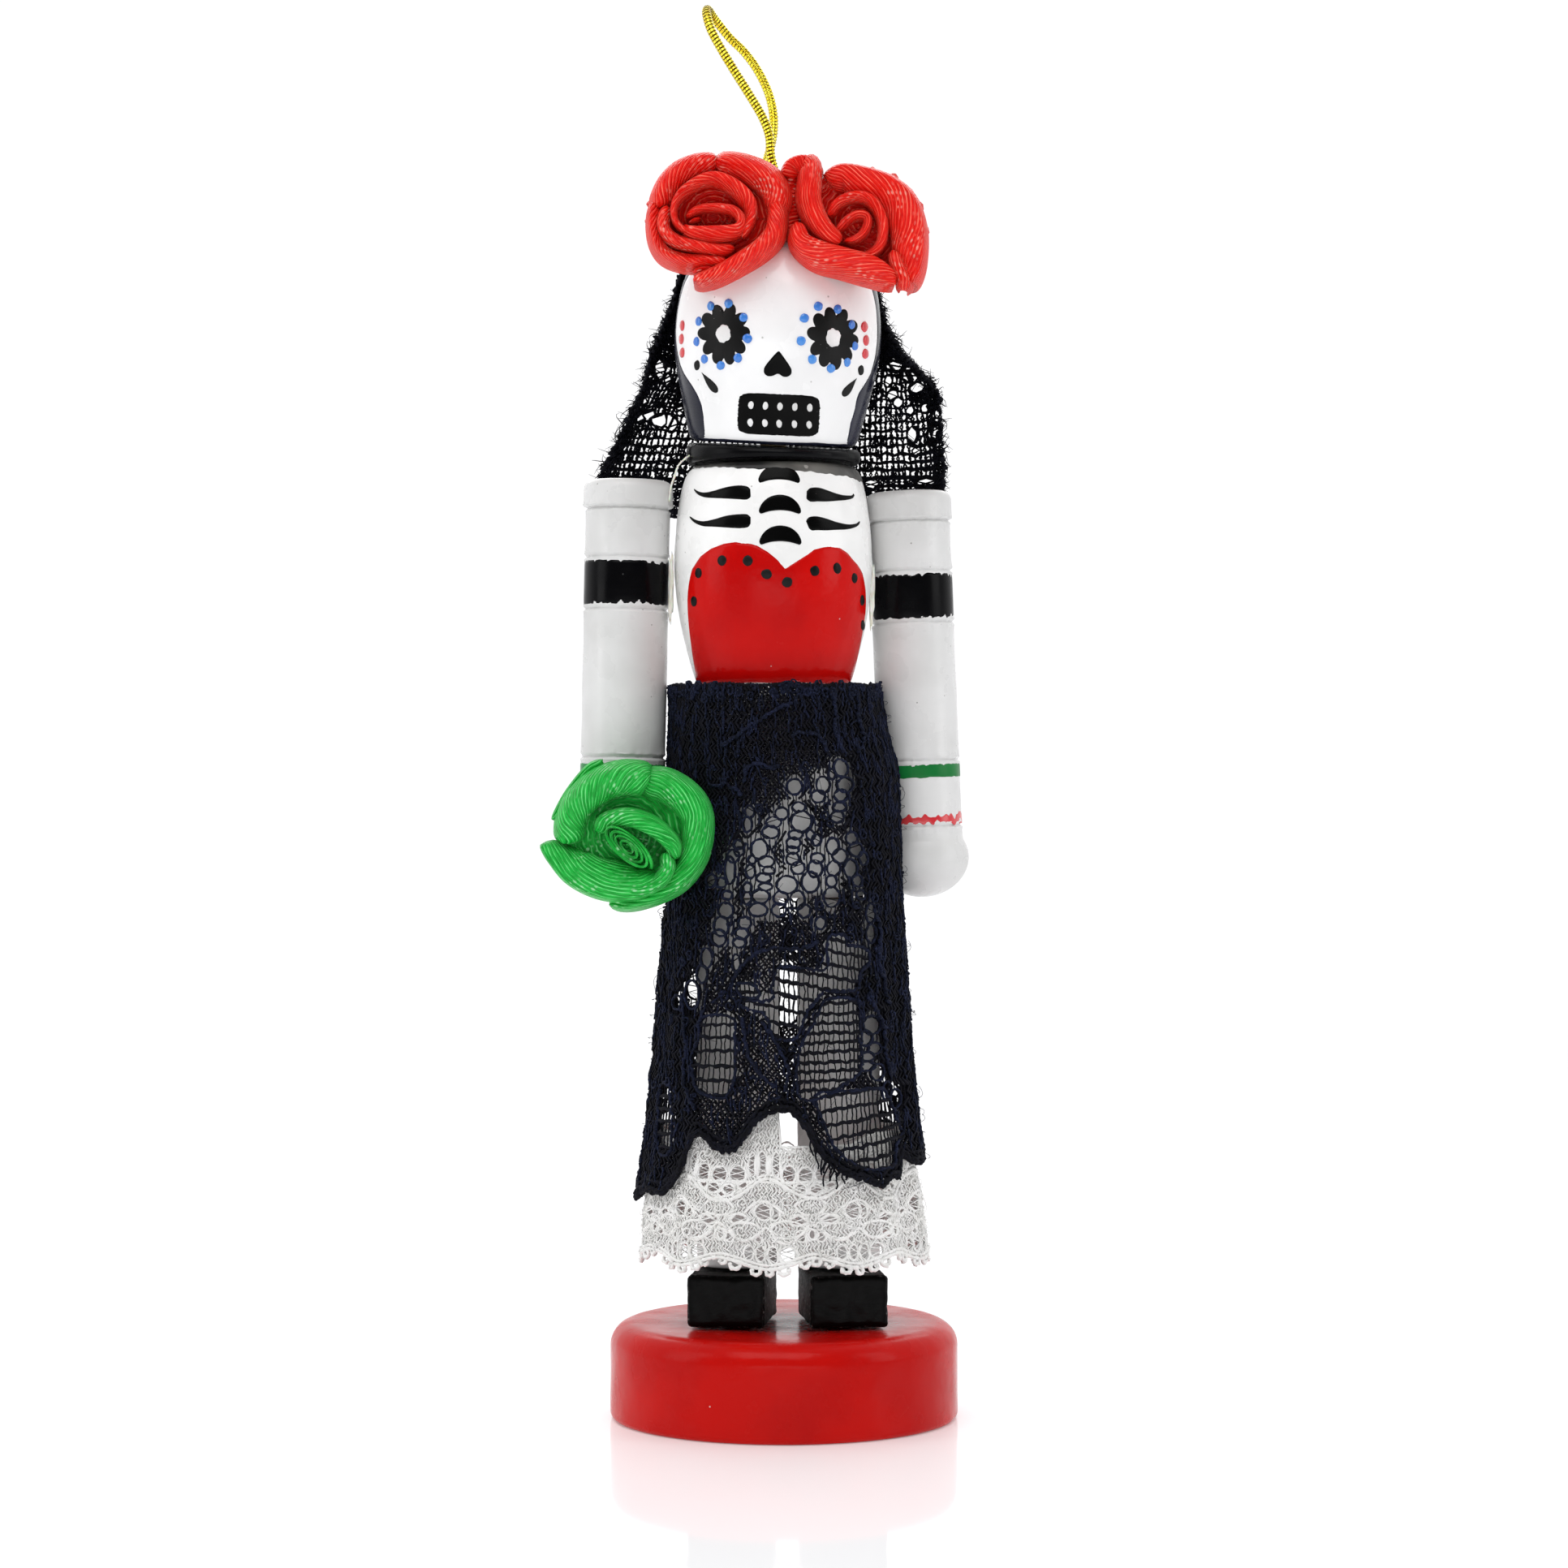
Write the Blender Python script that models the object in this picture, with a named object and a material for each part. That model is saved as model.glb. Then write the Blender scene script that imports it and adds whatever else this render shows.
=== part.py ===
"""Turned-wood skeleton lady on a round base, dressed in lace and ribbon roses, with a hanging loop.

Run with: blender --background --python part.py

Frame: origin at the centre of the base's underside, +Z up, the figure faces -Y.
"left" and "right" in the names are as seen from the front, so left is -X.
Every size below is in millimetres, and MM turns it into Blender's metres.
"""

import math

import bmesh
import bpy
from mathutils import Vector

MM = 0.001
SMOOTH_ANGLE = 40.0
PIN_SEGMENTS = 16
GAP = 0.3                        # clearance between pieces that touch

# Base disc
BASE_RADIUS = 20.0
BASE_HEIGHT = 11.0
BASE_TOP_ROUND = 2.6
BASE_BOTTOM_ROUND = 0.7

# Shoes and legs: one pair of dowels, standing on toe-out blocks
SHOE_WIDTH = 8.8
SHOE_FRONT = 8.6                 # from the leg's axis to the toe
SHOE_BACK = 3.5                  # from the leg's axis to the heel
SHOE_BOTTOM = BASE_HEIGHT + GAP
SHOE_TOP = 17.2
SHOE_ROUND = 0.45
TOE_OUT = math.radians(7.0)
LEG_RADIUS = 4.75
LEG_BOTTOM = SHOE_TOP + GAP
LEG_TOP = 59.7
LEG_EDGE = 0.4
LEG_X = {"left": -5.3, "right": 6.3}
SHOE_SHIFT = {"left": -0.3, "right": 0.1}

# Wooden pins that join the turned pieces
PIN_RADIUS = 1.5
PIN_HOLE_RADIUS = PIN_RADIUS + GAP
PIN_CHAMFER = 0.3
FOOT_PIN_BOTTOM, FOOT_PIN_TOP = 4.3, 26.0
HIP_PIN_BOTTOM, HIP_PIN_TOP = 51.0, 69.0
WAIST_PIN_BOTTOM, WAIST_PIN_TOP = 76.0, 92.0
NECK_PIN_BOTTOM, NECK_PIN_TOP = 102.0, 119.5

# Hips, torso, collar and head, from the bottom up
HIP_X = -0.6
HIP_RADIUS = 10.2
HIP_BOTTOM = LEG_TOP + GAP
HIP_TOP = 84.0
HIP_EDGE = 0.8
TORSO_X = -1.25
TORSO_BOTTOM = HIP_TOP + GAP
TORSO_TOP = 109.4
COLLAR_BOTTOM = TORSO_TOP + GAP
COLLAR_RADIUS = 10.1
COLLAR_ROUND = 0.4
HEAD_BOTTOM = 112.2              # on the torso's axis, where the head pivots as it leans
HEAD_NOD = math.radians(6.0)     # chin down
HEAD_ROLL = math.radians(2.5)    # towards +X
HEAD_HEIGHT = 24.0
# radius and height above the head's underside, up its side
HEAD_PROFILE = (
    (8.9, 0.0), (9.6, 0.6), (10.3, 3.3), (11.0, 6.3), (11.6, 9.4), (11.8, 12.2), (11.6, 15.2),
    (11.0, 18.2), (9.9, 20.7), (8.0, 22.6), (5.6, 23.6), (3.0, 23.95),
)
CROWN_START = 4                  # first row of HEAD_PROFILE that the roses are seated on

# Arms: a cap, a grooved shaft and a ball hand, turned in one piece and leaning out at the hand.
# x and y are the axis at reference height ARM_REF, and lean is its run in X for each mm down.
# The highest groove is the one under the cap.
ARM_REF = 105.0
ARMS = {
    "left": {"x": -18.0, "y": 0.0, "lean": -0.020, "shaft": 4.87, "cap": 5.15, "top": 107.9,
             "grooves": (93.0, 99.0, 104.6)},
    "right": {"x": 14.5, "y": 4.2, "lean": 0.040, "shaft": 4.75, "cap": 5.0, "top": 106.9,
              "grooves": (91.6, 97.6, 103.4)},
}
GROOVE_DEPTH = 0.25
GROOVE_HALF_WIDTH = 0.35
HAND_RADIUS = 5.4
HAND_HALF_HEIGHT = 4.6
HAND_CENTRE = 64.3
WRIST_OVERLAP = 0.92             # how far round the hand's arc runs before the shaft takes over
CAP_ROUND = 1.1

# Hardened glue in the front crevice between the torso and each arm
GLUE_RADII = (0.5, 0.6, 3.4)
GLUE_PLACES = {"left": (-13.1, -3.2, 95.4), "right": (11.2, -1.7, 94.6)}

# Lace pieces, as thin shells
LACE_THICKNESS = 0.8
LACE_COLUMNS = 36
SKIRT_ROWS = 7
SKIRT_TOP = 84.2
# height, half width in X, half depth in Y, centre X, centre Y, all to the lace's outer face
SKIRT_STATIONS = (
    (17.0, 18.0, 17.0, 0.1, 0.0),
    (24.0, 17.3, 16.2, 0.0, 0.0),
    (32.0, 16.0, 15.2, 0.0, 0.0),
    (41.6, 15.0, 14.2, 0.0, 0.0),
    (60.0, 13.8, 13.2, 0.0, 0.0),
    (74.0, 13.6, 12.6, -0.1, 0.2),
    (79.0, 12.8, 12.0, -0.7, 0.2),
    (84.2, 12.3, 11.6, -1.1, 0.2),
)
# the skirt's hem: angle from the front in degrees, towards +X, and height
HEM_STATIONS = (
    (-180, 28.5), (-155, 31.5), (-130, 28.0), (-105, 26.0), (-86, 24.4), (-62, 27.0),
    (-42, 33.6), (-30, 32.4), (-14, 34.6), (-1, 36.5), (13, 34.8), (28, 31.0),
    (46, 28.3), (62, 29.4), (80, 31.6), (105, 29.0), (130, 32.5), (155, 30.5), (180, 28.5),
)
PETTICOAT_TOP = 33.4
PETTICOAT_BOTTOM = 17.6
PETTICOAT_ROWS = 3
PETTICOAT_INSET = LACE_THICKNESS + GAP
HAND_MARGIN = 1.0                # extra height round a hand that the lace still keeps off
BELOW_HAND = 3.0                 # this far under a hand the lace hangs freely again

# Veil: each row is half an ellipse round the back of the head, from left edge to right edge:
# centre X, half width, Y of the edges, Y of the back, Z of the edges, Z of the back
VEIL_COLUMNS = 16
VEIL_ROWS = (
    (-0.7, 11.9, 0.6, 0.6, 130.8, 137.4),
    (-0.7, 12.2, 1.2, 7.6, 128.5, 137.0),
    (-0.7, 13.0, 2.0, 11.9, 125.5, 133.2),
    (-0.5, 14.6, 3.5, 13.2, 122.0, 128.5),
    (0.6, 16.9, 5.0, 13.4, 118.5, 123.0),
    (-0.6, 18.8, 6.5, 13.4, 114.0, 117.0),
    (-1.3, 20.2, 7.5, 13.3, 110.6, 110.6),
    (-1.8, 20.9, 8.2, 13.2, 107.6, 104.0),
)

# Ribbon roses: centre, half sizes before tilting, tilt about X (top leans back), turn about Z
ROSES = {
    "rose_red_left": ((-7.95, -11.6, 136.5), (8.4, 5.0, 8.0), -15.0, 3.0),
    "rose_red_right": ((8.95, -11.6, 135.9), (8.0, 5.0, 8.3), -15.0, -3.0),
    "rose_green": ((-17.85, -10.4, 67.4), (10.3, 4.2, 9.3), 0.0, -10.0),
}
ROSE_SEGMENTS, ROSE_RINGS = 24, 12

# Hanging loop: a gold cord whose two ends come out of a glued knot behind the red roses
CORD_DIAMETER = 1.1
CORD_POINT_SPACING = 2.5 * CORD_DIAMETER
KNOT_CENTRE = (-1.5, -2.9, 138.4)
KNOT_RADII = (2.0, 1.7, 1.5)
CORD_ROUTE = (
    (-0.6, -3.1, 140.35), (-0.9, -3.3, 142.4), (-1.5, -3.4, 144.8), (-1.7, -3.3, 147.2),
    (-2.5, -3.1, 149.4), (-4.0, -2.8, 152.0), (-5.6, -2.5, 154.6), (-7.2, -2.3, 157.3),
    (-8.4, -2.1, 159.6), (-8.9, -1.2, 161.5), (-8.8, 0.5, 162.4), (-8.0, 2.1, 161.6),
    (-6.4, 2.7, 159.7), (-4.6, 2.6, 157.9), (-3.1, 2.3, 155.8), (-1.9, 1.9, 153.3),
    (-1.3, 1.3, 150.9), (-1.2, 0.6, 148.7), (-1.5, -0.3, 146.6), (-2.1, -1.3, 144.2),
    (-2.6, -2.2, 142.2), (-2.5, -2.8, 140.35),
)

# Colours
WHITE_PAINT = (0.86, 0.86, 0.85)
RED_PAINT = (0.66, 0.02, 0.02)
BLACK_PAINT = (0.012, 0.012, 0.014)
BARE_WOOD = (0.72, 0.55, 0.36)
GLUE = (0.80, 0.72, 0.48)
BLACK_LACE = (0.015, 0.017, 0.03)
WHITE_LACE = (0.85, 0.84, 0.80)
RED_RIBBON = (0.78, 0.03, 0.02)
GREEN_RIBBON = (0.02, 0.42, 0.06)
GOLD_CORD = (0.85, 0.62, 0.12)


def clear_scene():
    for old in list(bpy.data.objects):
        bpy.data.objects.remove(old, do_unlink=True)


def paint(name, colour, roughness, metallic=0.0):
    material = bpy.data.materials.new(name)
    material.use_nodes = True
    shader = material.node_tree.nodes["Principled BSDF"]
    shader.inputs["Base Color"].default_value = (*colour, 1.0)
    shader.inputs["Roughness"].default_value = roughness
    shader.inputs["Metallic"].default_value = metallic
    return material


def add_object(name, mesh, place=(0, 0, 0), material=None):
    thing = bpy.data.objects.new(name, mesh)
    thing.location = Vector(place) * MM
    bpy.context.scene.collection.objects.link(thing)
    if material:
        mesh.materials.append(material)
    return thing


def finish_mesh(bm, name):
    """Turn a bmesh in millimetres into a smooth-shaded mesh in metres, with its faces out."""
    bmesh.ops.scale(bm, vec=(MM, MM, MM), verts=bm.verts)
    bmesh.ops.recalc_face_normals(bm, faces=bm.faces)
    mesh = bpy.data.meshes.new(name)
    bm.to_mesh(mesh)
    bm.free()
    mesh.shade_smooth()
    mesh.set_sharp_from_angle(angle=math.radians(SMOOTH_ANGLE))
    return mesh


def arc(centre_r, centre_z, radius_r, radius_z, start, end, steps):
    """Profile points on an elliptical arc, with the angles in degrees from +r towards +z."""
    points = []
    for i in range(steps + 1):
        angle = math.radians(start + (end - start) * i / steps)
        points.append((centre_r + radius_r * math.cos(angle), centre_z + radius_z * math.sin(angle)))
    return points


def turned_mesh(name, profile, segments):
    """Spin an (r, z) profile, listed from its low axis point to its high one, round Z."""
    bm = bmesh.new()
    verts = [bm.verts.new((r, 0.0, z)) for r, z in profile]
    edges = [bm.edges.new(pair) for pair in zip(verts, verts[1:])]
    bmesh.ops.spin(bm, geom=verts + edges, cent=(0, 0, 0), axis=(0, 0, 1),
                   angle=math.tau, steps=segments, use_merge=True)
    bmesh.ops.remove_doubles(bm, verts=bm.verts, dist=1e-4)
    return finish_mesh(bm, name)


def hide_cutter(cutter):
    cutter.hide_render = True
    cutter.display_type = 'WIRE'


def pin_cutter(name, x, y, low, high):
    """A round cutter for a pin's hole."""
    profile = [(0, low), (PIN_HOLE_RADIUS, low), (PIN_HOLE_RADIUS, high), (0, high)]
    cutter = add_object(name, turned_mesh(name, profile, PIN_SEGMENTS), (x, y, 0))
    hide_cutter(cutter)
    return cutter


def cut(thing, cutter):
    boolean = thing.modifiers.new("hole_" + cutter.name, 'BOOLEAN')
    boolean.operation = 'DIFFERENCE'
    boolean.solver = 'EXACT'
    boolean.object = cutter


def make_pin(name, x, low, high, wood):
    inner = PIN_RADIUS - PIN_CHAMFER
    profile = [(0, low), (inner, low), (PIN_RADIUS, low + PIN_CHAMFER),
               (PIN_RADIUS, high - PIN_CHAMFER), (inner, high), (0, high)]
    add_object(name, turned_mesh(name, profile, PIN_SEGMENTS), (x, 0, 0), wood)


def make_base(red):
    """The turned disc that the figure stands on, with a blind hole for each foot pin."""
    flat = BASE_RADIUS - BASE_TOP_ROUND
    profile = [(0, 0)]
    profile += arc(BASE_RADIUS - BASE_BOTTOM_ROUND, BASE_BOTTOM_ROUND, BASE_BOTTOM_ROUND,
                   BASE_BOTTOM_ROUND, -90, 0, 2)
    profile += arc(flat, BASE_HEIGHT - BASE_TOP_ROUND, BASE_TOP_ROUND, BASE_TOP_ROUND, 0, 90, 4)
    profile.append((0, BASE_HEIGHT))
    base = add_object("base_disc", turned_mesh("base_disc", profile, 44), material=red)
    for side, x in LEG_X.items():
        cut(base, pin_cutter("cut_base_" + side, x, 0, FOOT_PIN_BOTTOM - GAP, BASE_HEIGHT + 2))


def make_shoe(side, black):
    """A block with softened edges, turned toe-out about the leg, with a hole for the pin."""
    bm = bmesh.new()
    bmesh.ops.create_cube(bm, size=1.0)
    length = SHOE_FRONT + SHOE_BACK
    height = SHOE_TOP - SHOE_BOTTOM
    bmesh.ops.scale(bm, vec=(SHOE_WIDTH, length, height), verts=bm.verts)
    bmesh.ops.translate(bm, vec=(SHOE_SHIFT[side], (SHOE_BACK - SHOE_FRONT) / 2,
                                 (SHOE_TOP + SHOE_BOTTOM) / 2), verts=bm.verts)
    bmesh.ops.bevel(bm, geom=bm.edges[:], offset=SHOE_ROUND, segments=2, profile=0.5,
                    affect='EDGES')
    mesh = finish_mesh(bm, "shoe_" + side)
    shoe = add_object("shoe_" + side, mesh, (LEG_X[side], 0, 0), black)
    outward = -1 if side == "left" else 1
    shoe.rotation_euler.z = outward * TOE_OUT
    cut(shoe, pin_cutter("cut_shoe_" + side, LEG_X[side], 0, SHOE_BOTTOM - 2, SHOE_TOP + 2))


def make_leg(side, white):
    """A plain dowel with a blind pin hole in each end."""
    inner = LEG_RADIUS - LEG_EDGE
    profile = [
        (0, FOOT_PIN_TOP + GAP), (PIN_HOLE_RADIUS, FOOT_PIN_TOP + GAP),
        (PIN_HOLE_RADIUS, LEG_BOTTOM), (inner, LEG_BOTTOM),
        (LEG_RADIUS, LEG_BOTTOM + LEG_EDGE), (LEG_RADIUS, LEG_TOP - LEG_EDGE),
        (inner, LEG_TOP), (PIN_HOLE_RADIUS, LEG_TOP),
        (PIN_HOLE_RADIUS, HIP_PIN_BOTTOM - GAP), (0, HIP_PIN_BOTTOM - GAP),
    ]
    name = "leg_" + side
    add_object(name, turned_mesh(name, profile, 24), (LEG_X[side], 0, 0), white)


def make_hips(white):
    """The round block under the skirt that carries both legs and the torso."""
    inner = HIP_RADIUS - HIP_EDGE
    profile = [(0, HIP_BOTTOM), (inner, HIP_BOTTOM), (HIP_RADIUS, HIP_BOTTOM + HIP_EDGE),
               (HIP_RADIUS, HIP_TOP - HIP_EDGE), (inner, HIP_TOP), (0, HIP_TOP)]
    hips = add_object("hip_block", turned_mesh("hip_block", profile, 28), (HIP_X, 0, 0), white)
    for side, x in LEG_X.items():
        cut(hips, pin_cutter("cut_hip_" + side, x, 0, HIP_BOTTOM - 2, HIP_PIN_TOP + GAP))
    cut(hips, pin_cutter("cut_hip_waist", TORSO_X, 0, WAIST_PIN_BOTTOM - GAP, HIP_TOP + 2))


def make_torso(white):
    """A vase-shaped turning: narrow waist, full chest, rounded shoulders."""
    profile = [
        (0, WAIST_PIN_TOP + GAP), (PIN_HOLE_RADIUS, WAIST_PIN_TOP + GAP),
        (PIN_HOLE_RADIUS, TORSO_BOTTOM), (8.4, TORSO_BOTTOM), (8.9, TORSO_BOTTOM + 0.5),
        (9.9, 88.0), (10.8, 92.0), (11.3, 95.8), (11.4, 99.0), (11.2, 102.5), (10.8, 105.6),
        (10.3, 107.7), (9.7, 108.9), (8.9, TORSO_TOP), (PIN_HOLE_RADIUS, TORSO_TOP),
        (PIN_HOLE_RADIUS, NECK_PIN_BOTTOM - GAP), (0, NECK_PIN_BOTTOM - GAP),
    ]
    add_object("torso", turned_mesh("torso", profile, 30), (TORSO_X, 0, 0), white)


def head_plane(x, y):
    """Height of the leaning head's underside over a point of the torso's top."""
    return HEAD_BOTTOM + y * math.tan(HEAD_NOD) - (x - TORSO_X) * math.tan(HEAD_ROLL)


def make_collar(black):
    """A thin ring round the neck pin, wedge-shaped because the head above it leans."""
    flat = COLLAR_RADIUS - COLLAR_ROUND
    low, high = 0.0, 1.0
    profile = [(PIN_HOLE_RADIUS, low), (flat, low), (COLLAR_RADIUS, 0.3), (COLLAR_RADIUS, 0.7),
               (flat, high), (PIN_HOLE_RADIUS, high), (PIN_HOLE_RADIUS, low)]
    mesh = turned_mesh("neck_collar", profile, 28)
    for vertex in mesh.vertices:
        x, y, share = vertex.co / MM
        top = head_plane(x + TORSO_X, y) - GAP
        vertex.co.z = (COLLAR_BOTTOM + (top - COLLAR_BOTTOM) * share) * MM
    mesh.shade_smooth()
    mesh.set_sharp_from_angle(angle=math.radians(SMOOTH_ANGLE))
    add_object("neck_collar", mesh, (TORSO_X, 0, 0), black)


def lean_like_head(thing):
    """Put a piece made with its underside at zero on the collar, nodding and rolled."""
    thing.location = Vector((TORSO_X, 0, HEAD_BOTTOM)) * MM
    thing.rotation_euler = (HEAD_NOD, HEAD_ROLL, 0.0)


def make_head(white):
    """An egg-shaped turning, widest at the eyes, with a blind hole for the neck pin."""
    profile = [(0, 0)] + list(HEAD_PROFILE) + [(0, HEAD_HEIGHT)]
    head = add_object("head", turned_mesh("head", profile, 32), material=white)
    lean_like_head(head)
    cut(head, pin_cutter("cut_head_neck", TORSO_X, 0, HEAD_BOTTOM - 3, NECK_PIN_TOP + GAP))


def arm_profile(arm):
    """Profile of one arm, from the ball hand's lowest point to the cap's top."""
    shaft = arm["shaft"]
    wrist_angle = math.degrees(math.acos(shaft / HAND_RADIUS)) * WRIST_OVERLAP
    points = arc(0, HAND_CENTRE, HAND_RADIUS, HAND_HALF_HEIGHT, -90, wrist_angle, 7)
    for height in arm["grooves"]:
        points.append((shaft, height - GROOVE_HALF_WIDTH))
        points.append((shaft - GROOVE_DEPTH, height))
        points.append((shaft, height + GROOVE_HALF_WIDTH))
    points[-1] = (arm["cap"], arm["grooves"][-1] + GROOVE_HALF_WIDTH)
    points += arc(arm["cap"] - CAP_ROUND, arm["top"] - CAP_ROUND, CAP_ROUND, CAP_ROUND, 0, 90, 3)
    points.append((0, arm["top"]))
    return points


def arm_x(arm, height):
    """X of an arm's leaning axis at a height."""
    return arm["x"] + arm["lean"] * (ARM_REF - height)


def make_arm(side, white):
    arm = ARMS[side]
    name = "arm_" + side
    profile = [(r, z - ARM_REF) for r, z in arm_profile(arm)]
    thing = add_object(name, turned_mesh(name, profile, 20), (arm["x"], arm["y"], ARM_REF), white)
    thing.rotation_euler.y = math.atan(-arm["lean"])


def ellipsoid_mesh(name, radii, segments, rings):
    bm = bmesh.new()
    bmesh.ops.create_uvsphere(bm, u_segments=segments, v_segments=rings, radius=1.0)
    bmesh.ops.scale(bm, vec=radii, verts=bm.verts)
    return finish_mesh(bm, name)


def make_glue(side, glue):
    name = "glue_bead_" + side
    add_object(name, ellipsoid_mesh(name, GLUE_RADII, 10, 8), GLUE_PLACES[side], glue)


def interpolate(stations, x):
    """Straight interpolation in rows of (x, value, value, ...), for every value at once."""
    for low, high in zip(stations, stations[1:]):
        if x <= high[0]:
            break
    share = (x - low[0]) / (high[0] - low[0])
    return [a + (b - a) * share for a, b in zip(low[1:], high[1:])]


def keep_off_arm(centre, direction, reach, arm, height):
    """Shorten a level ray so that the lace stays clear of an arm or its hand."""
    radius = arm["shaft"]
    above_hand = abs(height - HAND_CENTRE) / (HAND_HALF_HEIGHT + HAND_MARGIN)
    if above_hand < 1.0:
        radius = HAND_RADIUS
    if height < HAND_CENTRE - HAND_HALF_HEIGHT - BELOW_HAND:
        return reach
    clearance = radius + LACE_THICKNESS / 2 + GAP
    to_arm = Vector((arm_x(arm, height), arm["y"])) - centre
    along = to_arm.dot(direction)
    off_line = (to_arm - direction * along).length
    if along <= 0 or off_line >= clearance:
        return reach
    return min(reach, along - math.sqrt(clearance ** 2 - off_line ** 2))


def skirt_point(angle, height, inset):
    """A point on the skirt's middle surface. The angle runs from the front towards +X."""
    half_x, half_y, centre_x, centre_y = interpolate(SKIRT_STATIONS, height)
    half_x -= inset
    half_y -= inset
    direction = Vector((math.sin(angle), -math.cos(angle)))
    reach = 1.0 / math.hypot(direction.x / half_x, direction.y / half_y)
    centre = Vector((centre_x, centre_y))
    for arm in ARMS.values():
        reach = keep_off_arm(centre, direction, reach, arm, height)
    return (centre_x + direction.x * reach, centre_y + direction.y * reach, height)


def hem_height(angle):
    return interpolate(HEM_STATIONS, math.degrees(angle))[0]


def lace_tube(name, top, bottom_of, rows, inset, material):
    """A thin open tube of lace, from its top edge down to bottom_of(angle)."""
    bm = bmesh.new()
    grid = []
    for row in range(rows + 1):
        ring = []
        for column in range(LACE_COLUMNS):
            angle = -math.pi + math.tau * column / LACE_COLUMNS
            height = top + (bottom_of(angle) - top) * row / rows
            ring.append(bm.verts.new(skirt_point(angle, height, inset)))
        grid.append(ring)
    for upper, lower in zip(grid, grid[1:]):
        for i in range(LACE_COLUMNS):
            j = (i + 1) % LACE_COLUMNS
            bm.faces.new((upper[i], lower[i], lower[j], upper[j]))
    tube = add_object(name, finish_mesh(bm, name), material=material)
    thicken(tube)


def thicken(thing):
    shell = thing.modifiers.new("lace_thickness", 'SOLIDIFY')
    shell.thickness = LACE_THICKNESS * MM
    shell.offset = 0.0
    shell.use_even_offset = True


def make_skirt(material):
    lace_tube("skirt_lace", SKIRT_TOP, hem_height, SKIRT_ROWS, LACE_THICKNESS / 2, material)


def make_petticoat(material):
    lace_tube("petticoat_lace", PETTICOAT_TOP, lambda angle: PETTICOAT_BOTTOM, PETTICOAT_ROWS,
              PETTICOAT_INSET + LACE_THICKNESS / 2, material)


def make_veil(material):
    """A sheet over the crown and down the back of the head, open at the face."""
    bm = bmesh.new()
    grid = []
    for centre_x, half, y_edge, y_back, z_edge, z_back in VEIL_ROWS:
        row = []
        for column in range(VEIL_COLUMNS + 1):
            angle = math.pi * (column / VEIL_COLUMNS - 0.5)
            side, back = math.sin(angle), math.cos(angle)
            row.append(bm.verts.new((centre_x + half * side, y_edge + (y_back - y_edge) * back,
                                     z_edge + (z_back - z_edge) * back)))
        grid.append(row)
    for upper, lower in zip(grid, grid[1:]):
        for i in range(VEIL_COLUMNS):
            bm.faces.new((upper[i], upper[i + 1], lower[i + 1], lower[i]))
    veil = add_object("veil_lace", finish_mesh(bm, "veil_lace"), material=material)
    thicken(veil)


def crown_cutter():
    """The head's upper half, a gap larger all round, to seat the red roses on the forehead."""
    radius, start = HEAD_PROFILE[CROWN_START]
    profile = [(0, start), (radius + GAP, start)]
    for radius, height in HEAD_PROFILE[CROWN_START + 1:]:
        rise = (height - start) / (HEAD_HEIGHT - start)
        profile.append((radius + GAP, height + GAP * rise))
    profile.append((0, HEAD_HEIGHT + GAP))
    cutter = add_object("cut_crown", turned_mesh("cut_crown", profile, 32))
    lean_like_head(cutter)
    hide_cutter(cutter)
    return cutter


def make_rose(name, material):
    """The space that a wound ribbon rose fills, as a tilted cushion shape."""
    centre, radii, tilt, turn = ROSES[name]
    rose = add_object(name, ellipsoid_mesh(name, radii, ROSE_SEGMENTS, ROSE_RINGS), centre, material)
    rose.rotation_euler = (math.radians(tilt), 0.0, math.radians(turn))
    return rose


def smooth_route(route, spacing):
    """Points every spacing along a Catmull-Rom curve through the route's own points."""
    points = [Vector(p) for p in route]
    ends = [points[0] * 2 - points[1]] + points + [points[-1] * 2 - points[-2]]
    fine = []
    steps = 24
    for p0, p1, p2, p3 in zip(ends, ends[1:], ends[2:], ends[3:]):
        for i in range(steps):
            t = i / steps
            fine.append(0.5 * (2 * p1 + (p2 - p0) * t + (2 * p0 - 5 * p1 + 4 * p2 - p3) * t ** 2
                               + (3 * p1 - p0 - 3 * p2 + p3) * t ** 3))
    fine.append(points[-1])
    lengths = [0.0]
    for a, b in zip(fine, fine[1:]):
        lengths.append(lengths[-1] + (b - a).length)
    count = max(2, round(lengths[-1] / spacing))
    result = []
    j = 0
    for i in range(count + 1):
        target = lengths[-1] * i / count
        while j < len(fine) - 2 and lengths[j + 1] < target:
            j += 1
        share = (target - lengths[j]) / (lengths[j + 1] - lengths[j])
        result.append(fine[j].lerp(fine[j + 1], min(1.0, share)))
    return result


def make_hanger(gold):
    """The cord loop as a bevelled curve, and the knot that holds its ends."""
    points = smooth_route(CORD_ROUTE, CORD_POINT_SPACING)
    curve = bpy.data.curves.new("hanger_cord", 'CURVE')
    curve.dimensions = '3D'
    curve.bevel_depth = CORD_DIAMETER / 2 * MM
    curve.bevel_resolution = 2
    curve.use_fill_caps = True
    spline = curve.splines.new('POLY')
    spline.points.add(len(points) - 1)
    for point, place in zip(spline.points, points):
        point.co = (*(place * MM), 1.0)
    curve.materials.append(gold)
    cord = bpy.data.objects.new("hanger_cord", curve)
    bpy.context.scene.collection.objects.link(cord)
    add_object("hanger_knot", ellipsoid_mesh("hanger_knot", KNOT_RADII, 14, 8), KNOT_CENTRE, gold)


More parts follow.
